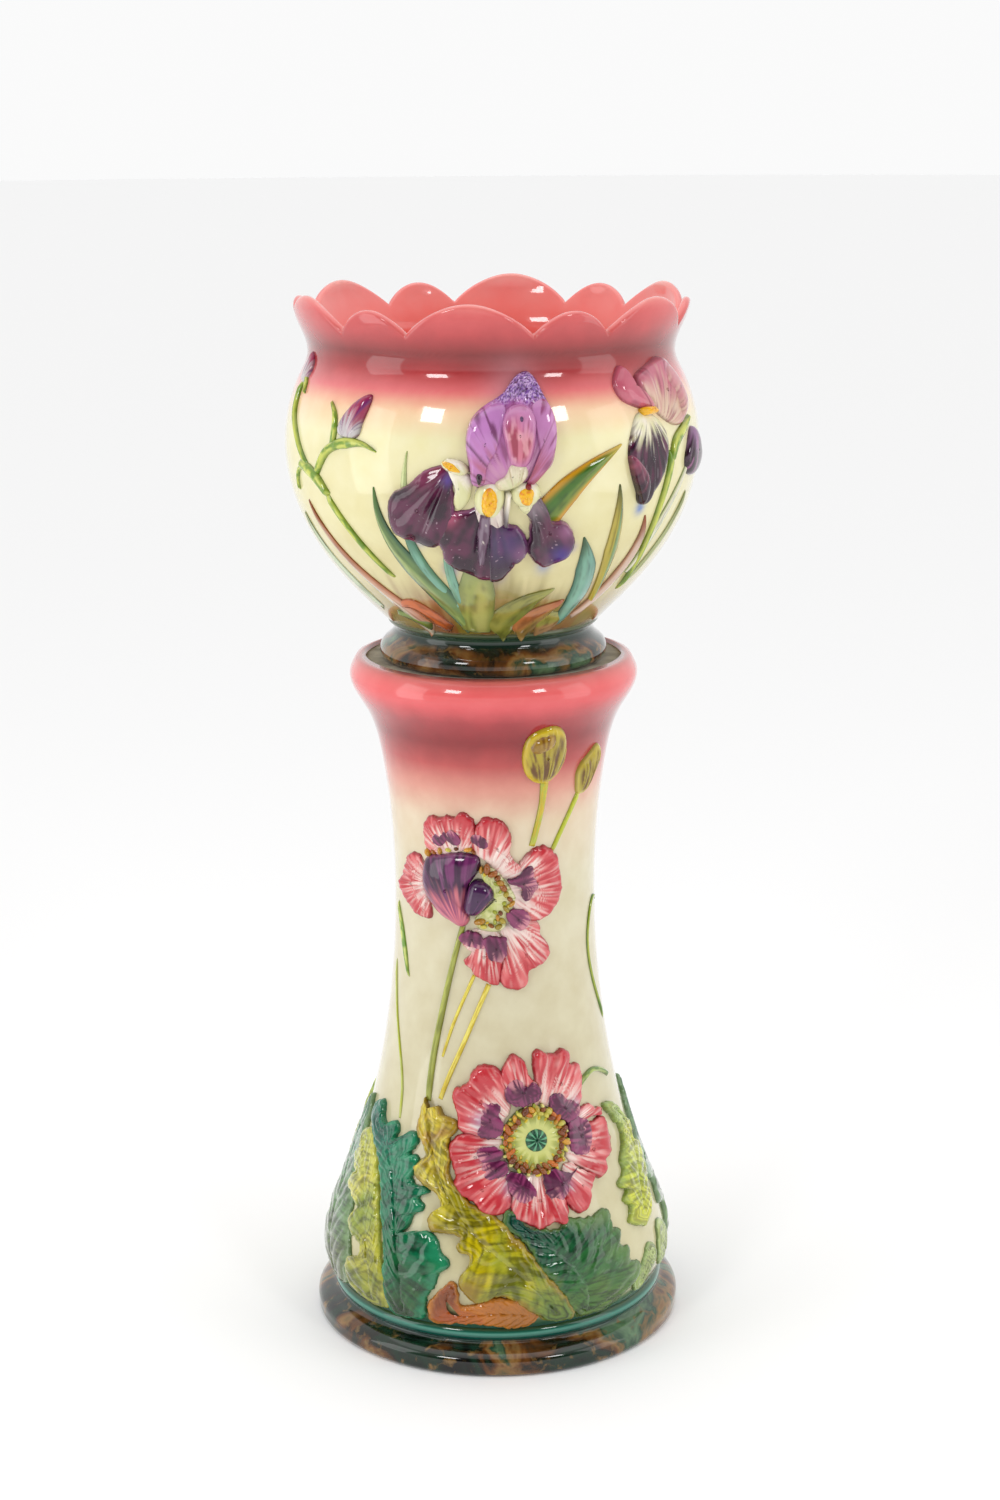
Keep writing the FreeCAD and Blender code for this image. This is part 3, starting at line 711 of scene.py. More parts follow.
# ---------------- front iris
def iris_standard(relief):
    """Upright petals: a dome behind, a petal folded in from each side, a front petal and its pale base."""
    root = (6, 880)

    def dome(spot):
        grit = step(958, 968, spot.height) * (grain(spot.x * 0.9, spot.y * 0.9, 3) - 0.35) * 5
        return (9 + 2 * step(950, 975, spot.height) + grit) * rounded(spot.t, 5)

    def dome_paint(spot):
        grit = grain(spot.x * 0.8, spot.y * 0.8, 5)
        speckled = mix("cea8dc", "8658aa", step(0.4, 0.6, grit))
        speckled = mix(speckled, "582860", step(0.62, 0.72, noise(spot.x, spot.y, 8)))
        petal = petal_paint("c88cb0", "ba70ac", 10, 70, 11, "8c3c6e")(spot)
        wave = 6 * (noise(spot.x * 0.15, 0 * spot.x, 2) - 0.5)
        return mix(petal, speckled, step(955, 966, spot.height + wave))

    disc(relief, [
        (10.5, 989), (12.5, 983), (14.5, 969), (16.8, 953), (17.3, 940), (16.8, 922), (15.3, 905),
        (12, 897), (7, 890), (1, 888), (-4.5, 889), (-5.8, 905), (-6.6, 920), (-6.6, 936), (-5, 950),
        (-1, 962), (3, 970), (7, 985)], dome, dome_paint, root, rings=60, pitch=0.9)

    left = petal_paint("b06482", "be80bc", 8, 70, 21, WINE, 13)
    disc(relief, [
        (3.4, 962), (-0.5, 960), (-4.6, 950), (-6.4, 936), (-6.5, 920), (-5.6, 905), (-4.4, 889),
        (-2.5, 889), (-1.2, 903), (1.2, 918), (3, 935)], ruffled(13, 27, 10, 70, 5, 1.3, 0.85), left, root,
        rings=30)
    right = petal_paint("a65068", "c484b8", 8, 70, 31, "82325a", 13)
    disc(relief, [
        (10.4, 962), (13.6, 966), (16.4, 953), (17.1, 940), (16.6, 922), (15, 906), (12.4, 895), (9.3, 889),
        (8.8, 892), (11.4, 898), (12.2, 908), (11.6, 924), (10.6, 944)],
        ruffled(11.8, 37, 10, 70, 5, 1.2, 0.85), right, root, rings=30)

    def front_paint(spot):
        lilac = petal_paint("be5c6c", "ce8cba", 20, 58, 41, "7c2842", 8)(spot)
        coral = mix("ce7488", "a03e54", step(0.35, 0.75, streaks(spot, 44, 17)))
        # The pale pink patches on the coral are painted highlight.
        coral = mix(coral, "e8a8b0", 0.7 * step(0.5, 0.75, grain(spot.x * 0.2, spot.y * 0.1, 46)))
        colour = mix(coral, lilac, step(926, 954, spot.height + 16 * (streaks(spot, 45, 9) - 0.5)))
        return mix(colour, "ba76a8", 0.8 * step(0.55, 0.95, spot.t))

    disc(relief, [
        (2.6, 948), (4.2, 957), (7.4, 961), (10.2, 957), (11.6, 946), (11.4, 930), (10.4, 914), (8.6, 905),
        (6.2, 903), (4.2, 911), (3.2, 926), (2.4, 938)], ruffled(15.5, 47, 14, 70, 5, 1.2, 0.8),
        front_paint, root, rings=34, pitch=1.0)
    style = petal_paint("ced09e", "e2d6ba", 2, 30, 51, "ac966e", 10)
    disc(relief, [
        (4.6, 910), (6.4, 912), (9, 909), (9.6, 901), (7.6, 891), (4.6, 886), (1, 887), (0.6, 892),
        (3, 899)], pillow(13, 3), style, root, rings=22)
    disc(relief, [(-3.4, 904), (-2.3, 903), (-2.2, 896), (-3.1, 890), (-3.9, 896)], pillow(14.5, 3),
        flat(PLUM), rings=8)
    disc(relief, [(8.3, 890.5), (10, 891), (10, 888), (8.4, 887)], pillow(13, 3), flat("821822"), rings=8)
    disc(relief, [(7.2, 950), (8, 949), (7.6, 941), (7, 942)], pillow(16.9, 3), flat("481e54"), rings=6)


def folded(height, folds, first, last):
    """Lift of a hanging petal with soft folds that run out from its root: folds are (turn, depth, width)."""
    def lift(spot):
        out = np.clip((spot.reach - first) / (last - first), 0, 1)
        bend = sum(depth * np.exp(-((spot.turn - turn) / width) ** 2) for turn, depth, width in folds)
        crimp = 1.4 * (streaks(spot, 531, 11) - 0.5) * out
        rise = height * (0.5 + 0.5 * out) + 1.3 * bend * step(0.05, 0.5, out) + crimp
        return rise * rounded(spot.t, 6)
    return lift


def fall_paint(seed, sheen_and_tints):
    """Deep plum glaze, thin and mauve where it runs off the raised edge, with spots of other tints, partly
    painted sheen.
    """
    def paint(spot):
        cloud = grain(spot.x * 0.06 + 9, spot.y * 0.06 + 9, seed)
        colour = mix(PLUM, WINE, step(0.4, 0.75, cloud + 0.3 * (streaks(spot, seed + 3, 14) - 0.5)))
        colour = mix(colour, MAUVE, 0.75 * step(0.9, 0.995, spot.t + 0.05 * (cloud - 0.5)))
        # Spots of other tints: partly the glaze's own tints, partly painted sheen, a painted reflection on
        # the dark glaze.
        for place, size, tint, share in sheen_and_tints:
            colour = mix(colour, tint, share * spot.near(place, size))
        specks = step(0.93, 0.97, noise(spot.x * 0.55, spot.y * 0.55, seed + 6))
        return mix(colour, "d6b4c4", 0.5 * specks)
    return paint


def iris_fall_left(relief):
    root = (-9.5, 908)
    throat = petal_paint(MILK, PALE_GREEN, 2, 36, 61, None, 8)
    disc(relief, [
        (-11.5, 909), (-8.5, 906), (-5.2, 896), (-5.2, 883), (-7, 870), (-9, 866), (-10, 872), (-9.6, 884),
        (-10.6, 897)], pillow(7, 3), throat, root, rings=18)
    folds = [(-2.45, 3.2, 0.1), (-2.62, -2.2, 0.08), (-2.2, 2.0, 0.16), (-2.9, 1.5, 0.15)]
    # Tint spots on this fall, partly painted sheen.
    sheen_and_tints = [((-14, 904), 9, "82283c", 0.8), ((-11, 895), 6, VIOLET, 0.9), ((-19, 897), 12, "964664", 0.5)]
    disc(relief, [
        (-10, 908), (-13.5, 908), (-16.5, 904), (-22.5, 888), (-26.3, 882), (-28.7, 868), (-28.6, 858),
        (-27.6, 844), (-25, 838), (-20, 832), (-16, 830.5), (-12.6, 838), (-10, 862), (-9.4, 877),
        (-10, 889), (-9.8, 899)], folded(10, folds, 4, 74), fall_paint(63, sheen_and_tints), root, rings=46,
        pitch=1.0, teeth=(2.2, 11, 64))


def iris_fall_centre(relief):
    root = (-0.5, 892)
    disc(relief, [
        (-3.6, 888), (-0.6, 891), (2.6, 888), (3.4, 872), (3.2, 852), (0, 846), (-4, 850), (-4.6, 868)],
        pillow(8, 3), petal_paint(MILK, "d6c4ba", 4, 48, 71, "783c50", 12), root, rings=16)
    folds = [(3.14, 2.6, 0.07), (2.96, -2.0, 0.07), (-2.96, -2.0, 0.07), (2.6, 1.6, 0.2), (-2.6, 1.8, 0.2)]
    # Tint spots on this fall, partly painted sheen.
    sheen_and_tints = [((-11.5, 863), 9, "ce6082", 0.8), ((4, 838), 18, VIOLET, 0.35), ((8, 828), 8, MAUVE, 0.4)]
    disc(relief, [
        (-1, 868), (-3.4, 870), (-5.6, 867), (-9.5, 864.5), (-13, 861), (-15.7, 850), (-16, 840),
        (-14.5, 827), (-13, 815), (-9.5, 808), (-5.5, 801), (-0.5, 797), (4, 801), (6, 810), (9.5, 821),
        (10.2, 834), (9, 845), (6.5, 852), (3, 856), (1.6, 866)], folded(11, folds, 20, 96),
        fall_paint(73, sheen_and_tints), root, rings=56, pitch=1.0, teeth=(2.4, 11, 74))

    def midrib(v, u):
        return 13.2 * rounded(u, 2) * np.clip(6 * (1 - v), 0, 1) ** 0.5

    def midrib_paint(v, u):
        bead = step(0.75, 0.85, noise(v * 26, 3 * u + 5, 75)) * step(0.35, 0.1, np.abs(u))
        colour = mix("7e6a7a", "5c3e54", step(0.4, 0.7, noise(u * 4 + 8, v * 9, 76)))
        return mix(colour, MILK, 0.9 * bead)

    ribbon(relief, [(-1.6, 866), (-2.2, 846), (-2.8, 828), (-3.2, 812)], [5, 7, 5.5, 3], [5, 6.5, 5, 3],
        midrib, midrib_paint)


def iris_fall_right(relief):
    root = (8.5, 889)
    disc(relief, [
        (5.8, 887), (8, 891), (11.6, 888), (13, 880), (11, 872), (9.4, 862), (7.6, 866), (6.2, 876)],
        pillow(8, 3), petal_paint(MILK, PALE_GREEN, 2, 26, 81, "784254", 11), root, rings=16)
    folds = [(2.75, -2.4, 0.1), (2.95, 2.0, 0.1), (2.45, 2.2, 0.2)]
    # Tint spots on this fall, partly painted sheen.
    sheen_and_tints = [((11, 872), 11, "aa96a0", 0.6), ((19.5, 826), 9, "3c2882", 0.9), ((20, 849), 8, MAUVE, 0.5)]
    disc(relief, [
        (9.6, 884), (7.6, 879), (9.2, 862), (10.4, 845), (10, 829), (12.8, 814), (16.5, 809.5), (20.5, 815),
        (23.2, 824), (23.4, 838), (21.7, 848), (18.7, 854.5), (16, 856), (14.8, 867), (12.2, 879)],
        folded(10.5, folds, 6, 84), fall_paint(83, sheen_and_tints), root, rings=44, pitch=1.0, teeth=(1.8, 10, 84))

    def strip(v, u):
        return 9 * rounded(u, 2)

    def strip_paint(v, u):
        return mix(MILK, "685c60", step(0.15, 0.9, v + 0.2 * u))

    ribbon(relief, [(4.4, 884), (3.8, 868), (3.6, 852)], [3, 3.5, 2.5], [3, 3.5, 2.5], strip,
           strip_paint)


def fuzz(height, seed):
    def lift(spot):
        return (height + 1.6 * (noise(spot.x * 0.9, spot.y * 0.9, seed) - 0.5)) * rounded(spot.t, 3)
    return lift


def fuzz_paint(seed):
    return lambda spot: mix(AMBER, ORANGE, step(0.6, 0.95, noise(spot.x * 0.6, spot.y * 0.6, seed)))


def iris_beards(relief):
    """Yellow beards at the root of each hanging petal, in cream collars."""
    for number, outline in enumerate((
            [(-13, 909), (-12.4, 912), (-9, 913), (-6.6, 909), (-5.6, 903), (-7, 899), (-9.6, 900),
             (-12, 904)],
            [(-4.2, 884), (-3, 890), (0, 893.5), (2.6, 889), (3.4, 879), (2.4, 866), (0.6, 859),
             (-2.4, 860), (-4.2, 868)],
            [(5, 885), (6.6, 891), (9, 892.5), (12, 889.5), (12.6, 881), (10.6, 871), (7.4, 870),
             (5.2, 877)])):
        disc(relief, outline, pillow(11, 3), petal_paint(MILK, PALE_GREEN, 0, 16, 541 + number, None, 8),
             outline[2], rings=14, pitch=0.9)
    for number, outline in enumerate((
            [(-12.6, 911), (-10.2, 911.5), (-8, 906.5), (-7.2, 902), (-8.6, 901.5), (-11, 904.5)],
            [(-2.4, 886), (-0.6, 891), (1.2, 887), (1.8, 876), (0.8, 865), (-1, 861), (-2.6, 866),
             (-3, 877)],
            [(6.4, 885), (8.4, 890), (10.6, 888), (10.8, 880), (9.6, 872), (7.8, 873), (6.6, 879)])):
        disc(relief, outline, fuzz(15, 91 + number), fuzz_paint(95 + number), rings=16, pitch=0.9)


# ---------------- second iris, buds, stems and leaves
def side_iris_standard(relief):
    """The second iris at the right: its standard with a curled petal."""
    root = (52, 925)
    mauve = petal_paint("d8baa0", "c46e80", 10, 62, 101, "964258", 8)
    curl_paint = petal_paint("ce828c", "c46074", 8, 60, 109, "963c54", 6)
    disc(relief, [
        (45.5, 975), (49, 983), (55, 989), (61.5, 992), (64.5, 981), (66, 969), (67, 955), (67, 942),
        (64, 932), (59, 930), (54, 937), (50.5, 946), (48, 957), (45.5, 966)], ruffled(11, 103, 6, 66),
        mauve, root, rings=40, pitch=1.0)
    disc(relief, [
        (57, 984), (62, 987), (65, 972), (66.5, 955), (66, 941), (62.5, 934), (60.5, 950), (58, 968)],
        pillow(12.5, 3), petal_paint("dcc4a8", "ce8c92", 8, 60, 107, "a45468", 9), root, rings=20)
    disc(relief, [
        (41, 989.5), (42.2, 982), (43, 971), (45.6, 962), (49.4, 953), (50, 947), (46, 948.5), (41.2, 954),
        (38, 961), (37, 973), (39, 984)], pillow(9, 4), curl_paint, root, rings=26)


def side_iris_fall(relief):
    root = (46.5, 950)

    def dark(spot):
        deep = mix(PLUM, WINE, step(0.4, 0.8, streaks(spot, 113, 16)))
        pale = mix(MILK, PALE_GREEN, noise(spot.x * 0.2, spot.y * 0.2, 114))
        down = (940 - spot.height) / 32 + 0.9 * (streaks(spot, 115, 18) - 0.5)
        return mix(pale, deep, step(0.2, 0.75, down))

    disc(relief, [
        (43, 946), (47, 946), (50.7, 940), (53.2, 929), (53.8, 916), (53.2, 902), (51.5, 889), (49, 877),
        (46.8, 868), (45.5, 862), (43.6, 863), (42, 874), (39.6, 893), (38.3, 909), (39.2, 925), (41, 938)],
        ruffled(10, 117, 6, 84, ruffle=0.8), dark, root, rings=40, pitch=1.0)
    disc(relief, [(38.6, 911), (42, 903), (45, 888), (45.6, 874), (44.6, 862), (42, 874), (39.4, 893)],
        pillow(12, 3), petal_paint("964660", PLUM, 36, 76, 119, None, 12), root, rings=16)
    disc(relief, [
        (70, 925), (73, 920), (75.5, 905), (77, 892), (74, 881), (68, 880), (65.5, 886), (64.5, 897),
        (66, 910), (67.5, 919)], pillow(8, 4), petal_paint("966e96", PLUM, 4, 40, 121, MAUVE, 8), (70, 930),
        rings=20)


def side_iris_beard(relief):
    disc(relief, [(44, 949), (46.4, 950.5), (49, 948), (49.6, 944.5), (47, 943), (44.4, 944.5)],
        fuzz(12.5, 123), fuzz_paint(124), rings=12, pitch=0.9)


def stem(relief, spine, widths, height, light="c8ce5a", dark="709230"):
    """A round stem with two greens along it. Its widths are given at the spine's points."""
    def lift(v, u):
        return height * rounded(u, 2) * np.clip(12 * np.minimum(v, 1 - v), 0, 1) ** 0.5

    def paint(v, u):
        tone = grain(v * 9, u * 1.5 + 4, STEM_SEED)
        return mix(mix(light, dark, step(0.35, 0.7, tone)), dark, 0.6 * step(0.5, 1.0, np.abs(u)))

    half = [width / 2 for width in widths]
    ribbon(relief, spine, half, half, lift, paint)


def blade(relief, spine, widths, height, left, right, tip, seed, edge=None):
    """A sword leaf with a fold along it: its two halves differ, its tip and edges turn another colour."""
    def lift(v, u):
        fold = 1 - np.abs(u) ** 1.5
        return (0.35 + 0.65 * fold) * height * np.clip(8 * np.minimum(v + 0.02, 1.01 - v), 0, 1) ** 0.5

    def paint(v, u):
        streak = grain(u * 3 + 7, v * 3, seed)
        colour = mix(left, right, step(-0.12, 0.12, u + 0.5 * (streak - 0.5)))
        colour = mix(colour, colour * 0.55, step(0.55, 0.8, grain(u * 5 + 3, v * 5, seed + 1)))
        if edge:
            colour = mix(colour, edge, step(0.45, 0.95, np.abs(u) + 0.3 * (streak - 0.5)))
        return mix(colour, tip, step(0.72, 1.0, v + 0.15 * (streak - 0.5)))

    half = [width / 2 for width in widths]
    ribbon(relief, spine, half, half, lift, paint)


def iris_buds(relief):
    bud = petal_paint("c4bebe", "a02c54", 2, 44, 141, "682c6e", 9)
    disc(relief, [
        (-35.3, 966), (-35.6, 951), (-36.8, 938), (-37.6, 929), (-41, 926), (-45, 929.5), (-44.2, 941),
        (-41.6, 953), (-38.2, 963)], pillow(7.5, 3), bud, (-42, 922), rings=28, pitch=0.9)
    disc(relief, [
        (-71.6, 996), (-74.4, 986), (-74.8, 976), (-73.6, 968), (-71, 967), (-69, 974), (-68.8, 984)],
        pillow(5, 3), bud, (-72, 960), rings=18)


def iris_stems(relief):
    for spine, widths, height in (
            ([(-51, 870), (-46.5, 848), (-41, 822), (-34, 794)], [7, 6.5, 6, 3], 3.6),
            ([(-63.5, 896), (-59, 892), (-54, 883), (-50, 870)], [7, 12, 12, 7], 5.0),
            ([(-54, 890), (-51.5, 903), (-48.5, 914), (-44, 920)], [6, 8, 9, 9], 5.0),
            ([(-50.3, 957), (-47.6, 946), (-46.8, 931), (-47.2, 916)], [1.5, 6, 8, 6], 3.4),
            ([(-31.5, 916), (-35.5, 921.5), (-40, 922.5), (-47, 918)], [1.5, 6, 11, 9], 4.4),
            ([(-59, 895), (-63, 909), (-67, 925), (-70.5, 941), (-72, 969)], [5, 5, 6, 8, 7], 4.0),
            ([(-67, 958), (-68.5, 966), (-71, 974)], [1.5, 6, 4], 3.0),
            ([(-61.5, 895), (-65.5, 886), (-67, 868)], [4, 5, 1.5], 3.0),
            ([(56.5, 908), (55, 882), (53.8, 862), (53.3, 846), (53, 824), (53.4, 805), (54.5, 772)],
             [9, 8, 7, 7, 7, 6, 5], 4.2),
            ([(69.5, 936), (63, 924), (58.5, 914), (56, 896)], [1.5, 10, 13, 7], 4.6)):
        stem(relief, spine, widths, height)


def iris_leaves(relief):
    for values in (
            ([(14, 858), (20, 882), (27.5, 903), (36.5, 921)], [30, 25, 14, 1.5], 4.5, "426c1e", "688424",
             "ceb036", 151, "ce941e"),
            ([(-31, 735), (-43, 772), (-54, 812), (-62.5, 861)], [26, 16, 9, 1.5], 3.0, "cec4aa", "c4967c",
             "965428", 153, "a66032"),
            ([(-56, 752), (-60, 776), (-66, 812), (-70, 846)], [14, 15, 9, 1.5], 2.4, "ced4ba", MIST,
             "8c9664", 155),
            ([(-10, 738), (-18, 776), (-26.5, 812), (-32, 852), (-32.8, 884)], [18, 26, 21, 10, 1.5], 3.8,
             "96a85c", "68844c", "547838", 157, "3c6446"),
            ([(-12, 758), (-17, 780), (-21.5, 806), (-24.5, 842)], [15, 16, 12, 7], 3.0, "548a70", SEA,
             "46765c", 159, "487c54"),
            ([(-11.5, 768), (-13, 790), (-13.5, 812), (-13.5, 832)], [9, 10, 8, 4], 3.4, "6ea082", SEA,
             "508264", 161),
            ([(-23.6, 884), (-23.2, 900), (-22.4, 919)], [7, 4.5, 1], 1.6, "ced496", "bac884", "a0b464",
             163),
            ([(-40, 762), (-33, 764), (-27, 752), (-20, 738)], [5, 14, 17, 12], 4.0, "be6028", "96461e",
             "783c1e", 165),
            ([(-46, 752), (-38, 748), (-30, 738)], [4, 12, 12], 3.4, "6e8232", "506428", "46501e", 167),
            ([(-8, 736), (-7, 762), (-5.5, 785), (-5, 806)], [34, 40, 34, 20], 4.6, "969c4c", "a8a65c",
             "8e965a", 169, "78803c"),
            ([(0, 736), (6, 752), (13, 770), (22, 784)], [34, 30, 18, 1.5], 3.6, "8e8c3e", "787c32",
             "969650", 171),
            ([(10, 736), (16, 748), (22, 760), (28, 770)], [32, 26, 16, 2], 3.6, "b06e3c", "96783c",
             "aa5a32", 173),
            ([(30, 742), (32.5, 768), (31.5, 796), (27, 836)], [16, 22, 19, 1.5], 3.6, SEA, "689e8a",
             "3e603c", 175, "467860"),
            ([(42, 758), (39.5, 790), (37.8, 826), (37, 856), (36, 884)], [8, 11, 15, 10, 1.5], 3.6,
             "b0a032", "6e8c46", "465028", 177, "beaa46"),
            ([(37, 748), (43, 770), (48, 802), (49.3, 828), (48, 850)], [10, 14, 15, 11, 1.5], 3.6,
             "ceb2a0", "c4a68c", "964e24", 179, "ac7850"),
            ([(52, 790), (55, 826), (61, 864), (69, 904)], [8, 12, 10, 1.5], 2.6, "e2dcc4", MIST, "bec496",
             181, "a0aa6e"),
            ([(57, 780), (61, 804), (66, 834), (70, 864)], [8, 10, 8, 1.5], 2.6, "aab078", "96a064",
             "828c50", 183),
            ([(20, 740), (27, 746), (33, 752)], [24, 26, 8], 3.0, "969242", "aa8250", "a05432", 185)):
        blade(relief, *values)


# ---------------- poppies
DEEP_CORAL = "c4363e"
ROSE_PINK = "e07070"
SHELL = "f6ded4"
BLOTCH = "54183c"
SKY = "96b0ce"
STAMEN_COLOURS = ["965418", "c48c28", "cec454", "783c14", "aa9632"]
UPPER_HEART = (-7, 480)
LOWER_HEART = (17.3, 225)


def poppy_petal(relief, outline, root, first, last, seed, height=7.0, tint=()):
    """Cream at its root, coral streaks gathering to a full coral edge, its rim thick and rippled."""
    def lift(spot):
        out = np.clip((spot.reach - first) / (last - first), 0, 1)
        ripple = (streaks(spot, seed, 7) - 0.5) * 4.6 * out + (streaks(spot, seed + 1, 20) - 0.5) * 1.5
        return (height * (0.3 + 0.7 * out ** 0.8) + ripple) * rounded(spot.t, 8)

    def paint(spot):
        out = (spot.reach - first) / (last - first)
        brush = streaks(spot, seed + 2, 24) * 0.6 + streaks(spot, seed + 3, 52) * 0.4
        colour = mix(SHELL, ROSE_PINK, step(0.15, 0.65, out + 1.2 * (brush - 0.5)))
        colour = mix(colour, DEEP_CORAL, step(0.42, 0.82, out + 1.2 * (streaks(spot, seed + 4, 26) - 0.5)))
        bare = step(0.6, 0.85, streaks(spot, seed + 5, 40)) * step(1.1, 0.5, out)
        colour = mix(colour, SHELL, 0.7 * bare)
        colour = mix(colour, "b02c36", 0.8 * step(0.93, 0.99, spot.t + 0.06 * brush) * step(0.3, 0.7, out))
        for place, size, shade, share in tint:
            colour = mix(colour, shade, share * spot.near(place, size))
        return colour

    disc(relief, outline, lift, paint, root, rings=30, pitch=1.1, teeth=(1.5, 4.5, seed))


def blotch(relief, outline, root, height, seed):
    """Purple mark near a petal's root, brushed outward."""
    ring = np.array(outline)
    outline = (ring.mean(0) + BLOTCH_SCALE * (ring - ring.mean(0))).tolist()

    def paint(spot):
        brush = streaks(spot, seed, 46)
        out = (spot.reach - spot.reach.min()) / np.ptp(spot.reach)
        colour = mix(BLOTCH, "8c3864", step(0.4, 0.8, 0.7 * streaks(spot, seed + 1, 26) + 0.3 * spot.t))
        return mix(colour, "d68c96", 0.85 * step(0.72, 1.0, out + 0.7 * (brush - 0.5)))

    def lift(spot):
        return (height + 1.8) * np.sqrt(np.clip(1 - 0.3 * spot.t ** 2, 0, 1))

    disc(relief, outline, lift, paint, root, rings=9, pitch=1.0, teeth=(1.6, 3.0, seed))


def upper_poppy_petals(relief):
    for values in (
            ([(-41, 531), (-38.5, 545), (-34, 551), (-29.5, 549), (-26, 553), (-21, 552), (-18, 556),
             (-13, 553.5), (-10, 546), (-9.5, 536), (-12, 522), (-18.5, 516), (-27, 511), (-36, 509),
             (-40.5, 518)], (-22, 500), 14, 52, 201),
            ([(-8, 548), (-4, 553), (-1, 552), (3.5, 549), (7.5, 541), (9.2, 528), (8.6, 516), (11.8, 505),
             (16.4, 497), (14, 487), (7, 488), (0.5, 497), (-5, 507), (-10, 514), (-12.8, 525), (-11, 536)],
             UPPER_HEART, 22, 70, 211),
            ([(-50.5, 506), (-45, 505), (-42.5, 500), (-42, 488), (-43, 475), (-40.5, 465), (-37.5, 454),
             (-37.5, 444), (-43, 440.5), (-51.5, 445), (-60, 453), (-65, 463), (-63.5, 477), (-59, 492)],
             (-36, 478), 6, 44, 221, 6),
            ([(15.5, 509), (20.5, 517), (27, 520), (33.5, 513), (37.3, 500), (39.2, 485), (39.2, 468),
             (35.7, 455), (29.5, 445.5), (22, 443), (16, 447), (11, 454), (7, 462), (8, 477), (7, 487),
             (11, 497)], (4, 477), 14, 62, 231),
            ([(-17.8, 429), (-12.5, 436), (-5.5, 438), (2.5, 432), (5.8, 422), (5.3, 408), (3.8, 396),
             (1.5, 381), (-3, 381), (-7, 386), (-10.5, 388), (-14, 396), (-17.8, 404), (-15, 410),
             (-13.5, 416), (-18, 422)], (-5, 452), 18, 70, 241),
            ([(3.5, 440), (11.5, 444), (19.5, 446), (25, 440), (26, 430), (30.4, 418), (30.4, 404),
             (26, 398), (22, 396), (18.5, 391), (17.5, 381), (12, 375), (7, 376), (3, 383), (3, 396),
             (4.6, 410), (3.6, 426)], (0, 458), 18, 84, 251)):
        poppy_petal(relief, *values)
    for number, (outline, height) in enumerate((
            ([(16, 499), (19.5, 500), (20.8, 489), (22.8, 482), (20.8, 474), (17, 467), (14.8, 472),
             (14.5, 479), (11, 483), (7.5, 487), (12.5, 491)], 5.6),
            ([(6.6, 454), (11, 457.5), (17, 453.5), (18.2, 445), (15.5, 438), (10, 440), (7, 446)], 5.4),
            ([(-4.6, 429), (-1, 430), (5.6, 428), (5.8, 416), (3.6, 407), (-1, 407), (-4, 414)], 6.2),
            ([(-19, 428), (-13, 434.5), (-6.3, 428), (-5.3, 421), (-11, 419.5), (-16.5, 422)], 5.4),
            ([(-33.2, 531), (-30, 535.5), (-27, 535), (-26, 528), (-27, 523), (-31, 521.5), (-33.8, 526)],
             4.6),
            ([(-25, 535), (-21.5, 537.5), (-19, 532), (-18, 526), (-22, 524), (-24.8, 528)], 4.8),
            ([(-11.8, 533), (-7, 535.5), (-3.8, 528), (-4.3, 522.5), (-9, 525), (-11.8, 528)], 5.2))):
        blotch(relief, outline, UPPER_HEART, height, 261 + number)


def upper_poppy_cup(relief):
    """The closed purple cup in front of the petals, and the dark lip beside it."""
    def cup_lift(spot):
        return (12 + 1.0 * (streaks(spot, 272, 12) - 0.5)) * rounded(spot.t, 3)

    def cup_paint(spot):
        brush = streaks(spot, 271, 22)
        deep = mix("3a1438", "783268", step(0.4, 0.8, 0.6 * brush + 0.4 * streaks(spot, 275, 60)))
        low = mix("dc7882", "b45a78", brush)
        foot = step(482, 450, spot.height + 34 * (brush - 0.5))
        edge = step(0.9, 0.99, spot.t) * step(-10, -30, spot.azimuth)
        return mix(mix(deep, low, foot), "c478a0", 0.5 * edge)

    def lip_paint(spot):
        return mix("421e48", "783c6e", step(0.5, 0.9, streaks(spot, 273, 18)))

    disc(relief, [
        (-40, 505), (-31, 511), (-22, 514.5), (-15, 515), (-8.5, 511), (-8, 499), (-11, 490), (-14, 482),
        (-14.8, 470), (-15.6, 457), (-14, 446), (-18, 438.5), (-24, 442), (-30, 447), (-36, 457),
        (-41.5, 469), (-43, 483), (-42, 496)], cup_lift, cup_paint, (-18, 436), rings=44, pitch=1.0)
    disc(relief, [
        (-11, 488), (-5.5, 487.5), (-1, 480), (0, 473), (-3, 464), (-6.5, 456), (-11.5, 450.5),
        (-15.8, 453), (-16.5, 466), (-14.5, 479)], pillow(14.5, 3), lip_paint, (-14, 446), rings=26,
        pitch=0.9)


def upper_poppy_heart(relief):
    disc(relief, [
        (-8, 500), (-2, 501), (3, 494), (8.6, 480), (12, 466), (8.4, 453), (4.6, 437), (-5.5, 435),
        (-9.5, 438), (-11, 448), (-6.5, 454), (-2, 464), (1, 473), (-1, 484), (-6, 490)], pillow(4.6, 5),
        petal_paint("c4ce60", "e8e6b0", 6, 44, 281, "96a03c", 14), (-14, 470), rings=20)
    blobs(relief, [(-38, 511), (-34, 513), (-30, 515), (-25, 517), (-20.5, 519), (-14, 519), (-11, 517)],
        3.0, 3.2, STAMEN_COLOURS, 283)
    blobs(relief, [
        (-7, 499), (-4, 500), (-1, 495), (1.5, 491), (3, 486), (4.5, 481), (6, 474), (8, 469), (9, 464),
        (6, 459), (3, 455), (1.5, 450), (4, 447), (-6, 441), (-2, 442), (2, 441), (-8, 446)], 3.4, 5.0,
        STAMEN_COLOURS, 285)
    blobs(relief, [(-5, 495), (1, 485), (3, 477), (5, 465), (0, 456), (-4, 445), (0, 446), (7, 462)], 2.0,
        5.0, [GOLD, LIME], 287)


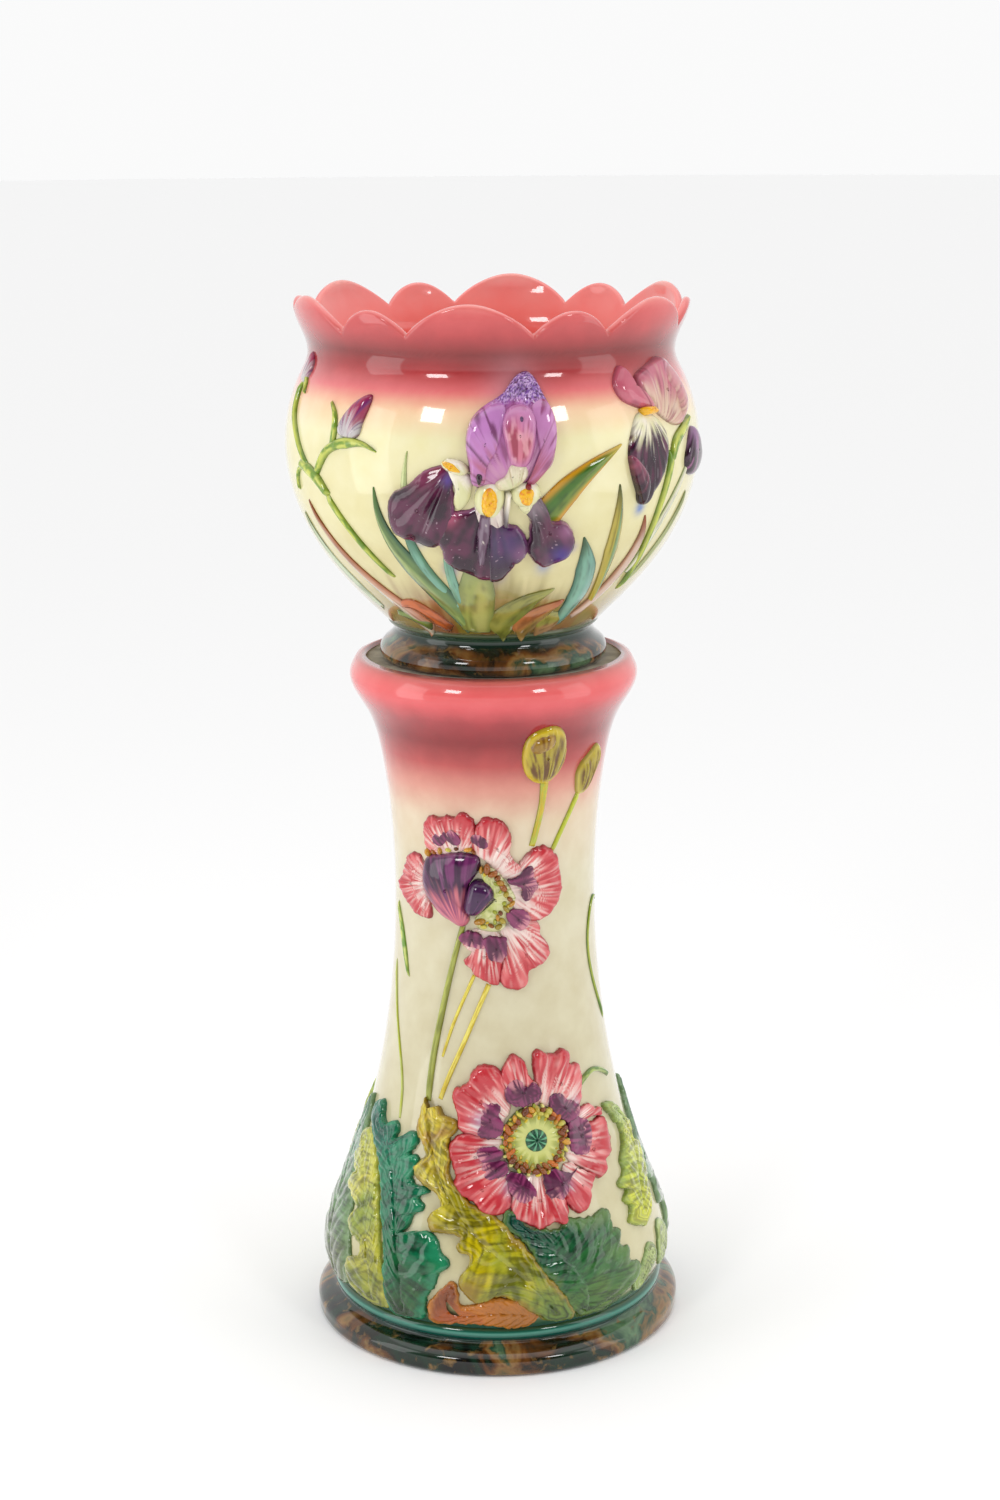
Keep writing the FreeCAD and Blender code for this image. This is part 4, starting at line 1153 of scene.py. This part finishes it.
def around(radius, count, offset=0.0):
    """Places on a circle round the lower poppy's heart."""
    turn = np.arange(count) * 2 * math.pi / count + offset
    per_degree = math.radians(STAND.radius(LOWER_HEART[1]))
    azimuth, height = LOWER_HEART
    return [(azimuth + radius * math.sin(a) / per_degree, height + radius * math.cos(a)) for a in turn]


def lower_poppy_petals(relief):
    tint = [((-6, 246), 10, SKY, 0.5), ((-4, 212), 8, SKY, 0.5), ((6, 182), 9, SKY, 0.5),
            ((38, 250), 8, SKY, 0.5), ((29, 178), 7, SKY, 0.35)]
    for number, (outline, height) in enumerate((
            ([(17, 286), (15.5, 297), (11, 309), (7.5, 311), (4, 301), (2.2, 290), (4.2, 278), (5.3, 267),
             (8.5, 261), (13.5, 256), (19.8, 258), (21, 272), (19.2, 282)], 7),
            ([(20, 313), (29.5, 307), (34, 309), (38.8, 305), (39.8, 291), (43.3, 292), (45.4, 278),
             (44.4, 262), (43, 251), (38, 242), (33, 238), (28, 248), (23.5, 256), (20.8, 259), (19.5, 273),
             (18.2, 298)], 8.5),
            ([(41, 246), (49, 246), (52, 241), (56, 239), (56, 232), (48, 234), (42.5, 230), (36.5, 230),
             (33.5, 238)], 6),
            ([(47, 230), (56.8, 228), (57.4, 215), (57.9, 204), (54.2, 191), (51, 188), (49.7, 179),
             (46.5, 174), (40.5, 182), (35.5, 192), (31, 203), (31, 215), (33.5, 229), (39.5, 232)], 8),
            ([(41, 174), (38.8, 165), (37.4, 154), (32.5, 148), (29.5, 153), (27, 165), (28.5, 179),
             (27.5, 192), (31, 199), (37, 189), (43.3, 180)], 7),
            ([(26.3, 140), (22, 145), (17, 141), (11.5, 146), (6.2, 154), (5.2, 164), (6.2, 180), (8, 191),
             (13.5, 195), (21, 195), (27, 187), (28, 170), (28, 156)], 8.5),
            ([(5.6, 164), (1, 156), (-2.7, 155), (-7, 161), (-10.8, 170), (-15.8, 174), (-17.8, 183),
             (-16.8, 192), (-11, 198), (-5, 204), (1, 203), (6.5, 195), (6, 181)], 7.5),
            ([(-20.3, 208), (-21.3, 217), (-19.2, 227), (-15.5, 232), (-10, 232), (-3, 231), (3, 227),
             (3.5, 211), (1.5, 198), (-5, 193), (-12, 188), (-16.3, 190), (-18.8, 199)], 6.5),
            ([(-16.5, 234), (-18, 249), (-20.8, 263), (-19.8, 276), (-13.8, 283), (-11.3, 296), (-4.5, 301),
             (2, 296), (4.4, 285), (6, 270), (7, 257), (3.5, 243), (4, 229), (-4, 228), (-11, 231)], 8))):
        poppy_petal(relief, outline, LOWER_HEART, 26, 86, 301 + 7 * number, height, tint)
    for number, (outline, height) in enumerate((
            ([(5.3, 279), (10, 286), (13, 280), (15, 277), (17, 281), (19.8, 277), (20.4, 266), (16, 262),
             (9.5, 260), (5, 268)], 5.2),
            ([(25.5, 264), (31.5, 265), (34, 259), (39.3, 252), (38.3, 240), (33.5, 238), (28, 247),
             (25.5, 257)], 5.4),
            ([(34.5, 237), (42.3, 234), (44.8, 221), (43.5, 212), (41.7, 204), (37, 203), (33, 212),
             (33, 225)], 5.2),
            ([(5, 195), (8.5, 195), (13.3, 185), (15.3, 174), (12.5, 168), (7.5, 171), (4.7, 182)], 5.4),
            ([(19.7, 192), (25.5, 193), (31, 188), (33.7, 191), (30, 182), (28.4, 172), (25.5, 166),
             (21.5, 167), (19.5, 180)], 5.4),
            ([(-7.8, 217), (-4, 221), (-1, 221), (2, 215), (0.4, 207), (-6.2, 208)], 5),
            ([(-5.2, 203), (2.5, 207), (4.6, 200), (1.4, 192), (-3, 190), (-5.3, 197)], 5),
            ([(-7.7, 259), (-2, 263), (1.8, 256), (1, 251), (2.4, 245), (1.4, 233), (-3, 230), (-7.8, 234),
             (-6.7, 244)], 5.4),
            ([(37.2, 229), (41.5, 228), (42, 225.5), (37.5, 226)], 5.8))):
        blotch(relief, outline, LOWER_HEART, height, 381 + number)


def lower_poppy_stamens(relief):
    """A pale eye with rays, and three rings of stamens round it."""
    def rays(spot):
        return noise(spot.turn * 9 + 40, 0 * spot.t, 391)

    def eye_lift(spot):
        return 5.5 * rounded(spot.t, 6) + 0.9 * step(0.4, 0.6, rays(spot)) * step(0.4, 0.6, spot.t)

    def eye_paint(spot):
        per_degree = math.radians(STAND.radius(LOWER_HEART[1]))
        away = np.hypot((spot.azimuth - LOWER_HEART[0]) * per_degree, spot.height - LOWER_HEART[1])
        colour = mix("d6d882", "8c9632", 0.8 * step(0.35, 0.65, rays(spot)) * step(13, 22, away))
        return mix(colour, "6a7028", step(27, 34, away))

    disc(relief, around(34, 22), eye_lift, eye_paint, LOWER_HEART, rings=24)
    ring = STAMEN_COLOURS + ["ba641e"]
    blobs(relief, around(30, 30, 0.1), 3.4, 5.0, ring, 393)
    blobs(relief, around(26, 26, 0.0), 3.0, 5.4, ring, 395)
    blobs(relief, around(33, 22, 0.3), 2.4, 4.0, [GOLD, LIME, "e2dc82"], 397)
    blobs(relief, around(22, 20, 0.2), 1.7, 5.0, [GOLD, LIME], 399)


def lower_poppy_pod(relief):
    def pod_lift(spot):
        rays = 1.0 * np.cos(9 * spot.turn) * step(0.15, 0.4, spot.t) * step(1.0, 0.7, spot.t)
        return (9 + rays - 2.0 * step(0.3, 0.0, spot.t)) * rounded(spot.t, 5)

    def pod_paint(spot):
        ray = step(0.1, 0.8, np.cos(9 * spot.turn)) * step(0.12, 0.3, spot.t)
        return mix(mix("1c543a", "60aa80", ray), "123c28", step(0.86, 1.0, spot.t))

    disc(relief, around(12, 18), pod_lift, pod_paint, LOWER_HEART, rings=22, pitch=0.7)


def seed_heads(relief):
    """Two ribbed seed heads with bright rims, the large one with a dark hollow."""
    def paint(rim, start):
        def painted(spot):
            rib = streaks(spot, 401, 34) * 0.6 + 0.4 * grain(spot.x * 0.3, spot.y * 0.1, 403)
            return mix(mix("684210", "b09c28", step(0.35, 0.7, rib)), rim, step(start, 0.95, spot.t))
        return painted

    def hollow_paint(spot):
        return mix("6e4614", "b08c32", streaks(spot, 405, 16))

    def ribbed(height):
        return lambda spot: (height + 1.6 * (streaks(spot, 401, 34) - 0.5)) * rounded(spot.t, 2.6)

    disc(relief, [
        (14, 604), (13.5, 622), (16, 636), (21, 643), (27, 645), (32, 639), (35.5, 622), (35.5, 606),
        (32, 593), (26.5, 585), (20, 587), (16, 594)], ribbed(11), paint(GOLD, 0.72), (25, 560), rings=30,
        pitch=0.9)
    disc(relief, [(15.5, 624), (17, 633), (22, 640), (27.5, 639), (28, 630), (23, 622), (18, 619)],
        pillow(13, 3), hollow_paint, (22, 600), rings=12)
    disc(relief, [
        (46, 575), (45.5, 590), (48.5, 600), (54, 608), (60, 614), (62, 610), (59.5, 594), (55, 577),
        (50.5, 566), (47.5, 567)], ribbed(9), paint("cebe54", 0.7), (48, 550), rings=26, pitch=0.9)


def poppy_stems(relief):
    for spine, widths, height, light, dark in (
            ([(26, 588), (25.5, 566), (23.5, 543), (20.5, 520)], [9, 6.5, 6.5, 6.5], 3.6, GOLD, LIME),
            ([(49, 568), (43.5, 549), (37.5, 529), (33, 513)], [6, 5, 5, 5], 3.0, "c4ce40", LIME),
            ([(-18, 440), (-24, 398), (-30, 344), (-33.4, 296), (-34, 258)], [6, 6, 6.5, 6.5, 6], 4.2,
             "b0b650", "888e32"),
            ([(-11.5, 390), (-17, 366), (-22.5, 340), (-28, 304)], [4, 3.5, 3.5, 2.5], 1.8, "ecde5a",
             GOLD),
            ([(-3.5, 381), (-10.5, 350), (-18, 314), (-24, 284), (-27.5, 262)], [5.5, 5, 5, 5, 4.5], 3.0,
             "ecde64", GOLD),
            ([(-73, 384), (-66, 336), (-56, 290), (-51.5, 262), (-50, 232)], [3, 3, 3, 3, 3], 1.8, "c4ce78",
             LIME),
            ([(-71.5, 446), (-66.5, 424), (-60, 394), (-55.5, 374)], [1.5, 9, 8, 1.5], 2.6, "ced46e",
             "6a9632"),
            ([(84.6, 440), (74, 447), (67, 430), (64, 408), (66, 376), (74, 338), (80, 316)], [3.5] * 7,
             2.2, LIME, GREEN),
            ([(40, 263), (47, 272), (54, 277), (63, 272), (70, 262)], [6, 6, 5.5, 5.5, 4], 4.0, "aaba60",
             "608232")):
        stem(relief, spine, widths, height, light, dark)


# ---------------- leaves at the column's base
def leaf(relief, outline, spine, height, stops, edge, seed, accents=(), brush_marks=1.0):
    """A lobed leaf with side veins: colours run along its spine, its edge turns another colour."""
    def veins(spot):
        wave = 0.35 * noise(spot.x * 0.12, spot.y * 0.12, seed)
        return np.abs((spot.along * 9 - spot.t * 2.2 + wave) % 1 - 0.5) * 2

    def lift(spot):
        dents = 1.1 * (grain(spot.x * 0.12, spot.y * 0.12, seed + 1) - 0.5)
        rib = 0.9 * step(0.0, 0.6, veins(spot)) + dents
        return (height + rib - 1.4 * step(0.12, 0.0, spot.t)) * rounded(spot.t, 7)

    def paint(spot):
        brush = grain(spot.along * 26, spot.t * 1.6 + 3, seed + 2)
        cloud = grain(spot.x * 0.05 + 5, spot.y * 0.05 + 5, seed + 3)
        colour = ramp(spot.along + 0.35 * (cloud - 0.5) + 0.2 * (brush - 0.5), stops)
        strokes = grain(spot.along * 60 + spot.t * 6, spot.t * 2.5 + 3, seed + 5)
        colour = mix(colour, 0.45 * colour, 0.9 * brush_marks * step(0.45, 0.7, strokes))
        colour = mix(colour, 1.4 * colour, 0.6 * brush_marks * step(0.5, 0.3, strokes))
        colour = mix(colour, 0.5 * colour, 0.8 * brush_marks * step(0.75, 1.0, veins(spot)))
        colour = mix(colour, edge, 0.8 * step(0.6, 1.0, spot.t + 0.5 * (brush - 0.5)))
        for place, size in accents:
            dark = spot.near(place, size) * step(0.3, 0.6, streaks(spot, seed + 4, 30))
            colour = mix(colour, "122c1a", 0.9 * dark)
        return colour

    disc(relief, outline, lift, paint, spine[0], rings=26, pitch=1.0, spine=spine, teeth=(2.4, 6, seed))


def leaf_teal(relief):
    leaf(relief,
        [(-72, 222), (-66, 241), (-62.5, 240), (-59.5, 224), (-55.5, 222), (-51.5, 229), (-48.5, 226),
         (-48.5, 213), (-43.5, 220), (-38, 225), (-36, 219), (-38.5, 204), (-34.5, 203), (-34, 193),
         (-36, 182), (-32, 177), (-27, 172), (-31, 164), (-28.5, 161), (-29, 154), (-33, 147), (-33, 138),
         (-35.5, 129), (-33, 130), (-28, 136), (-23.5, 136), (-21, 129), (-20, 122), (-16, 115),
         (-16, 107), (-18.5, 100), (-20, 90), (-22.5, 79), (-23.5, 62), (-25, 51), (-31, 49), (-37.5, 49),
         (-39, 58), (-41, 98), (-47.5, 142), (-57, 185), (-67, 206)],
        [(-32, 58), (-33, 90), (-38, 130), (-43, 165), (-50, 195), (-61, 218)],
        6.5, [(0, "2c5424"), (0.25, "08643c"), (0.5, "066040"), (0.75, "107652"), (1, "0a6450")],
        "289064", 411, accents=[((-29, 121), 7), ((-34.5, 62), 8)])


def leaf_yellow(relief):
    leaf(relief,
        [(-62, 52), (-74, 54), (-86, 62), (-93, 82), (-89, 100), (-97, 114), (-93, 130), (-100, 146),
         (-94, 160), (-98, 178), (-91, 192), (-90, 208), (-84, 222), (-79, 237), (-76, 226), (-76, 205),
         (-74, 188), (-72, 170), (-68, 150), (-64, 120), (-58, 90)],
        [(-70, 62), (-77, 100), (-83, 150), (-85, 190), (-81, 220)],
        5.0, [(0, "546038"), (0.4, "608254"), (0.8, "6e9678"), (1, "548060")], "82a06e", 421)
    leaf(relief,
        [(-70, 208), (-57.5, 185), (-48, 142), (-41.5, 98), (-38.5, 52), (-45, 51), (-52.5, 54),
         (-58, 60), (-60.5, 78), (-57, 89), (-53, 92), (-52.5, 101), (-58.5, 107), (-64.5, 117),
         (-61.5, 129), (-68.5, 138), (-76, 146), (-72, 157), (-78.5, 168), (-74, 178), (-77, 192)],
        [(-45, 60), (-48, 100), (-56, 140), (-64, 170), (-71, 194)],
        6.5, [(0, "788228"), (0.25, "b4b038"), (0.5, "829232"), (0.75, "c4be46"), (1, "aab454")],
        "ceca54", 431)


def leaf_olive(relief):
    leaf(relief,
        [(-34.5, 262), (-31, 251), (-27.5, 257), (-24.5, 249), (-20, 247), (-17.5, 235), (-20.5, 227),
         (-19.5, 208), (-19.5, 196), (-16.5, 183), (-12, 171), (-5.5, 163), (-0.5, 157), (4.5, 143),
         (9, 131), (14.5, 110), (21, 82), (25.5, 52), (16, 54), (7, 74), (-1.5, 80), (-6, 75),
         (-10.5, 82), (-12.5, 95), (-10, 107), (-9.5, 117), (-14.5, 125), (-13, 134), (-20, 135),
         (-25.5, 140), (-26, 148), (-21.5, 158), (-23, 169), (-27.5, 175), (-32.5, 179), (-36.5, 191),
         (-33, 200), (-31, 208), (-37.5, 227), (-36, 244)],
        [(18.5, 64), (10, 94), (-1.5, 122), (-14.5, 157), (-24.5, 195), (-29.5, 230), (-32, 252)],
        8.0, [(0, "60782c"), (0.2, "969628"), (0.4, "beac0a"), (0.55, "8c8210"), (0.75, "cebe3c"),
              (0.9, "a0781e"), (1, "ceba3c")], "967618", 441)


def leaf_fan(relief):
    leaf(relief,
        [(3, 161), (6.5, 160), (11, 145), (15, 143), (18, 142), (22.5, 139), (24.5, 143), (28, 147),
         (35.5, 143), (40.5, 146), (45.5, 144), (46.5, 136), (46, 128), (49.5, 121), (47.5, 110),
         (51, 103), (50.5, 93), (54.5, 84), (54.5, 70), (49, 62), (45, 56), (41, 50), (33, 49),
         (26.5, 49), (21.5, 75), (16.5, 94), (12.5, 114), (8.5, 133), (2, 151)],
        [(31, 58), (30, 84), (25, 108), (16, 130), (8, 148)],
        4.6, [(0, "547428"), (0.3, "2c642c"), (0.6, "165232"), (1, "044636")],
        "60823e", 451, accents=[((37, 63), 12), ((29, 60), 5)])
    leaf(relief,
        [(-15, 94), (-12.5, 84), (-11.5, 73), (-6.5, 75), (-1.5, 80), (5, 79), (10, 75), (14, 64),
         (11, 50), (-3, 49), (-15.5, 49), (-23.5, 51), (-22.5, 70), (-18.5, 86)],
        [(9, 62), (-4, 64), (-16, 66), (-16, 82)],
        5.0, [(0, "b06e28"), (0.4, "be7022"), (0.7, "b0541c"), (1, "82421a")],
        "c47c2c", 461, brush_marks=0.12)
    for number, outline in enumerate((
            [(64, 94), (67, 77), (61, 63), (54, 52), (51, 62), (55, 77), (59, 88)],
            [(73, 104), (80, 96), (83, 82), (79, 66), (72, 58), (69, 74), (70, 90)])):
        leaf(relief, outline, [(outline[3][0] + 2, 62), (outline[0][0] - 1, 84)], 3.0,
             [(0, "96aa5a"), (1, "b0be78")], "96b06e", 465 + number)


def leaf_side(relief):
    leaf(relief,
        [(58, 240), (64, 238), (70, 226), (75, 214), (80, 200), (78, 190), (86, 176), (86, 160),
         (81, 146), (77, 140), (76, 130), (70, 118), (62, 112), (57, 117), (54, 126), (58, 136),
         (54.5, 145), (58, 152), (55, 160), (60, 168), (61, 180), (66, 192), (68, 206), (63, 222)],
        [(64, 124), (69, 150), (74, 180), (73, 205), (66, 228)],
        6.0, [(0, "ced03c"), (0.35, "b0be3c"), (0.7, "ced260"), (1, "aabe6e")], "96b054", 471)


# ---------------- stage
def stage_and_light():
    floor = bpy.data.meshes.new("floor")
    turn = np.linspace(0, 2 * math.pi, 96, endpoint=False)
    floor.from_pydata([(30 * math.cos(a), 30 * math.sin(a), 0) for a in turn], [], [list(range(96))])
    pale = Nodes("floor_white")
    pale.set(Base_Color=(0.9, 0.9, 0.9, 1), Roughness=0.9, Specular_IOR_Level=0.0,
        Emission_Color=(1, 1, 1, 1), Emission_Strength=0.08)
    floor.materials.append(pale.material)
    floor_object = bpy.data.objects.new("floor", floor)
    bpy.context.scene.collection.objects.link(floor_object)
    studio_world()
    for name, kind, place, turn, size, power in (
            ("left", "AREA", (-1.5, -2.2, 2.3), (54, 0, -34), (0.6, 0.5), 14),
            ("right", "AREA", (1.7, -2.1, 2.3), (54, 0, 39), (0.5, 0.5), 11),
            ("side_left", "AREA", (-1.7, -0.72, 0.95), (90, 0, -67), (0.8, 1.7), 7),
            ("side_right", "AREA", (1.7, -0.72, 0.95), (90, 0, 67), (0.8, 1.7), 5),
            ("overhead", "SUN", (0, 0, 3), (0, 0, 0), None, 0.6)):
        lamp = bpy.data.lights.new(name, kind)
        lamp.energy = power
        if kind == "AREA":
            lamp.shape = "RECTANGLE"
            lamp.size, lamp.size_y = size
        else:
            lamp.angle = math.radians(70)
        piece = bpy.data.objects.new(name, lamp)
        piece.location = place
        piece.rotation_euler = [math.radians(angle) for angle in turn]
        piece.visible_camera = False
        bpy.context.scene.collection.objects.link(piece)


def studio_world():
    """White all round, darker above the front, where a camera and the unlit room would be."""
    world = bpy.data.worlds.new("studio")
    bpy.context.scene.world = world
    world.use_nodes = True
    tree = world.node_tree
    tree.nodes["Background"].inputs["Color"].default_value = (1, 1, 1, 1)
    place = tree.nodes.new("ShaderNodeTexCoord")
    axes = tree.nodes.new("ShaderNodeSeparateXYZ")
    tree.links.new(place.outputs["Generated"], axes.inputs[0])
    both = tree.nodes.new("ShaderNodeMath")
    both.operation = "MULTIPLY"
    for slot, axis, start, end in ((0, "Y", -0.12, -0.66), (1, "Z", 0.1, 0.28)):
        share = tree.nodes.new("ShaderNodeMapRange")
        share.inputs["From Min"].default_value = start
        share.inputs["From Max"].default_value = end
        tree.links.new(axes.outputs[axis], share.inputs["Value"])
        tree.links.new(share.outputs["Result"], both.inputs[slot])
    shade = tree.nodes.new("ShaderNodeMapRange")
    shade.inputs["To Min"].default_value = 0.96
    shade.inputs["To Max"].default_value = 0.05
    tree.links.new(both.outputs[0], shade.inputs["Value"])
    tree.links.new(shade.outputs["Result"], tree.nodes["Background"].inputs["Strength"])


def camera():
    data = bpy.data.cameras.new("camera")
    data.sensor_fit = "VERTICAL"
    data.sensor_height = 36
    data.lens = CAMERA_LENS
    piece = bpy.data.objects.new("camera", data)
    piece.location = CAMERA_PLACE
    pitch, roll = math.pi / 2 - CAMERA_DIP, math.radians(CAMERA_ROLL)
    piece.rotation_euler = (Matrix.Rotation(pitch, 3, "X") @ Matrix.Rotation(roll, 3, "Z")).to_euler()
    bpy.context.scene.collection.objects.link(piece)
    bpy.context.scene.camera = piece
    bpy.context.scene.view_settings.view_transform = "Standard"


# ---------------- all pieces
RELIEFS = (
    (iris_standard, BOWL, "glaze_lilac"),
    (iris_fall_left, BOWL, "glaze_purple"),
    (iris_fall_centre, BOWL, "glaze_purple"),
    (iris_fall_right, BOWL, "glaze_purple"),
    (iris_beards, BOWL, "glaze_purple"),
    (side_iris_standard, BOWL, "glaze_lilac"),
    (side_iris_fall, BOWL, "glaze_purple"),
    (side_iris_beard, BOWL, "glaze_lilac"),
    (iris_buds, BOWL, "glaze_lilac"),
    (iris_stems, BOWL, "glaze_green"),
    (iris_leaves, BOWL, "glaze_olive"),
    (upper_poppy_petals, STAND, "glaze_coral"),
    (upper_poppy_cup, STAND, "glaze_purple"),
    (upper_poppy_heart, STAND, "glaze_coral"),
    (lower_poppy_petals, STAND, "glaze_coral"),
    (lower_poppy_stamens, STAND, "glaze_coral"),
    (lower_poppy_pod, STAND, "glaze_green"),
    (seed_heads, STAND, "glaze_olive"),
    (poppy_stems, STAND, "glaze_olive"),
    (leaf_teal, STAND, "glaze_teal"),
    (leaf_yellow, STAND, "glaze_olive"),
    (leaf_olive, STAND, "glaze_olive"),
    (leaf_fan, STAND, "glaze_green"),
    (leaf_side, STAND, "glaze_green"))


def make_reliefs():
    """A relief named after a CAD node stands for that node. The others are colour and detail on top."""
    for add_patches, wall, slot in RELIEFS:
        name = add_patches.__name__
        nodes = [name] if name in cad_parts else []
        body = "jardiniere" if wall is BOWL else "stand"
        relief = Relief(wall)
        add_patches(relief)
        relief.make(name + "_relief" if nodes else name, body, nodes)


bowl_skin()
stand_skin()
foot_skin()
plinth_skin()
seat_finish()
make_reliefs()
stage_and_light()
camera()
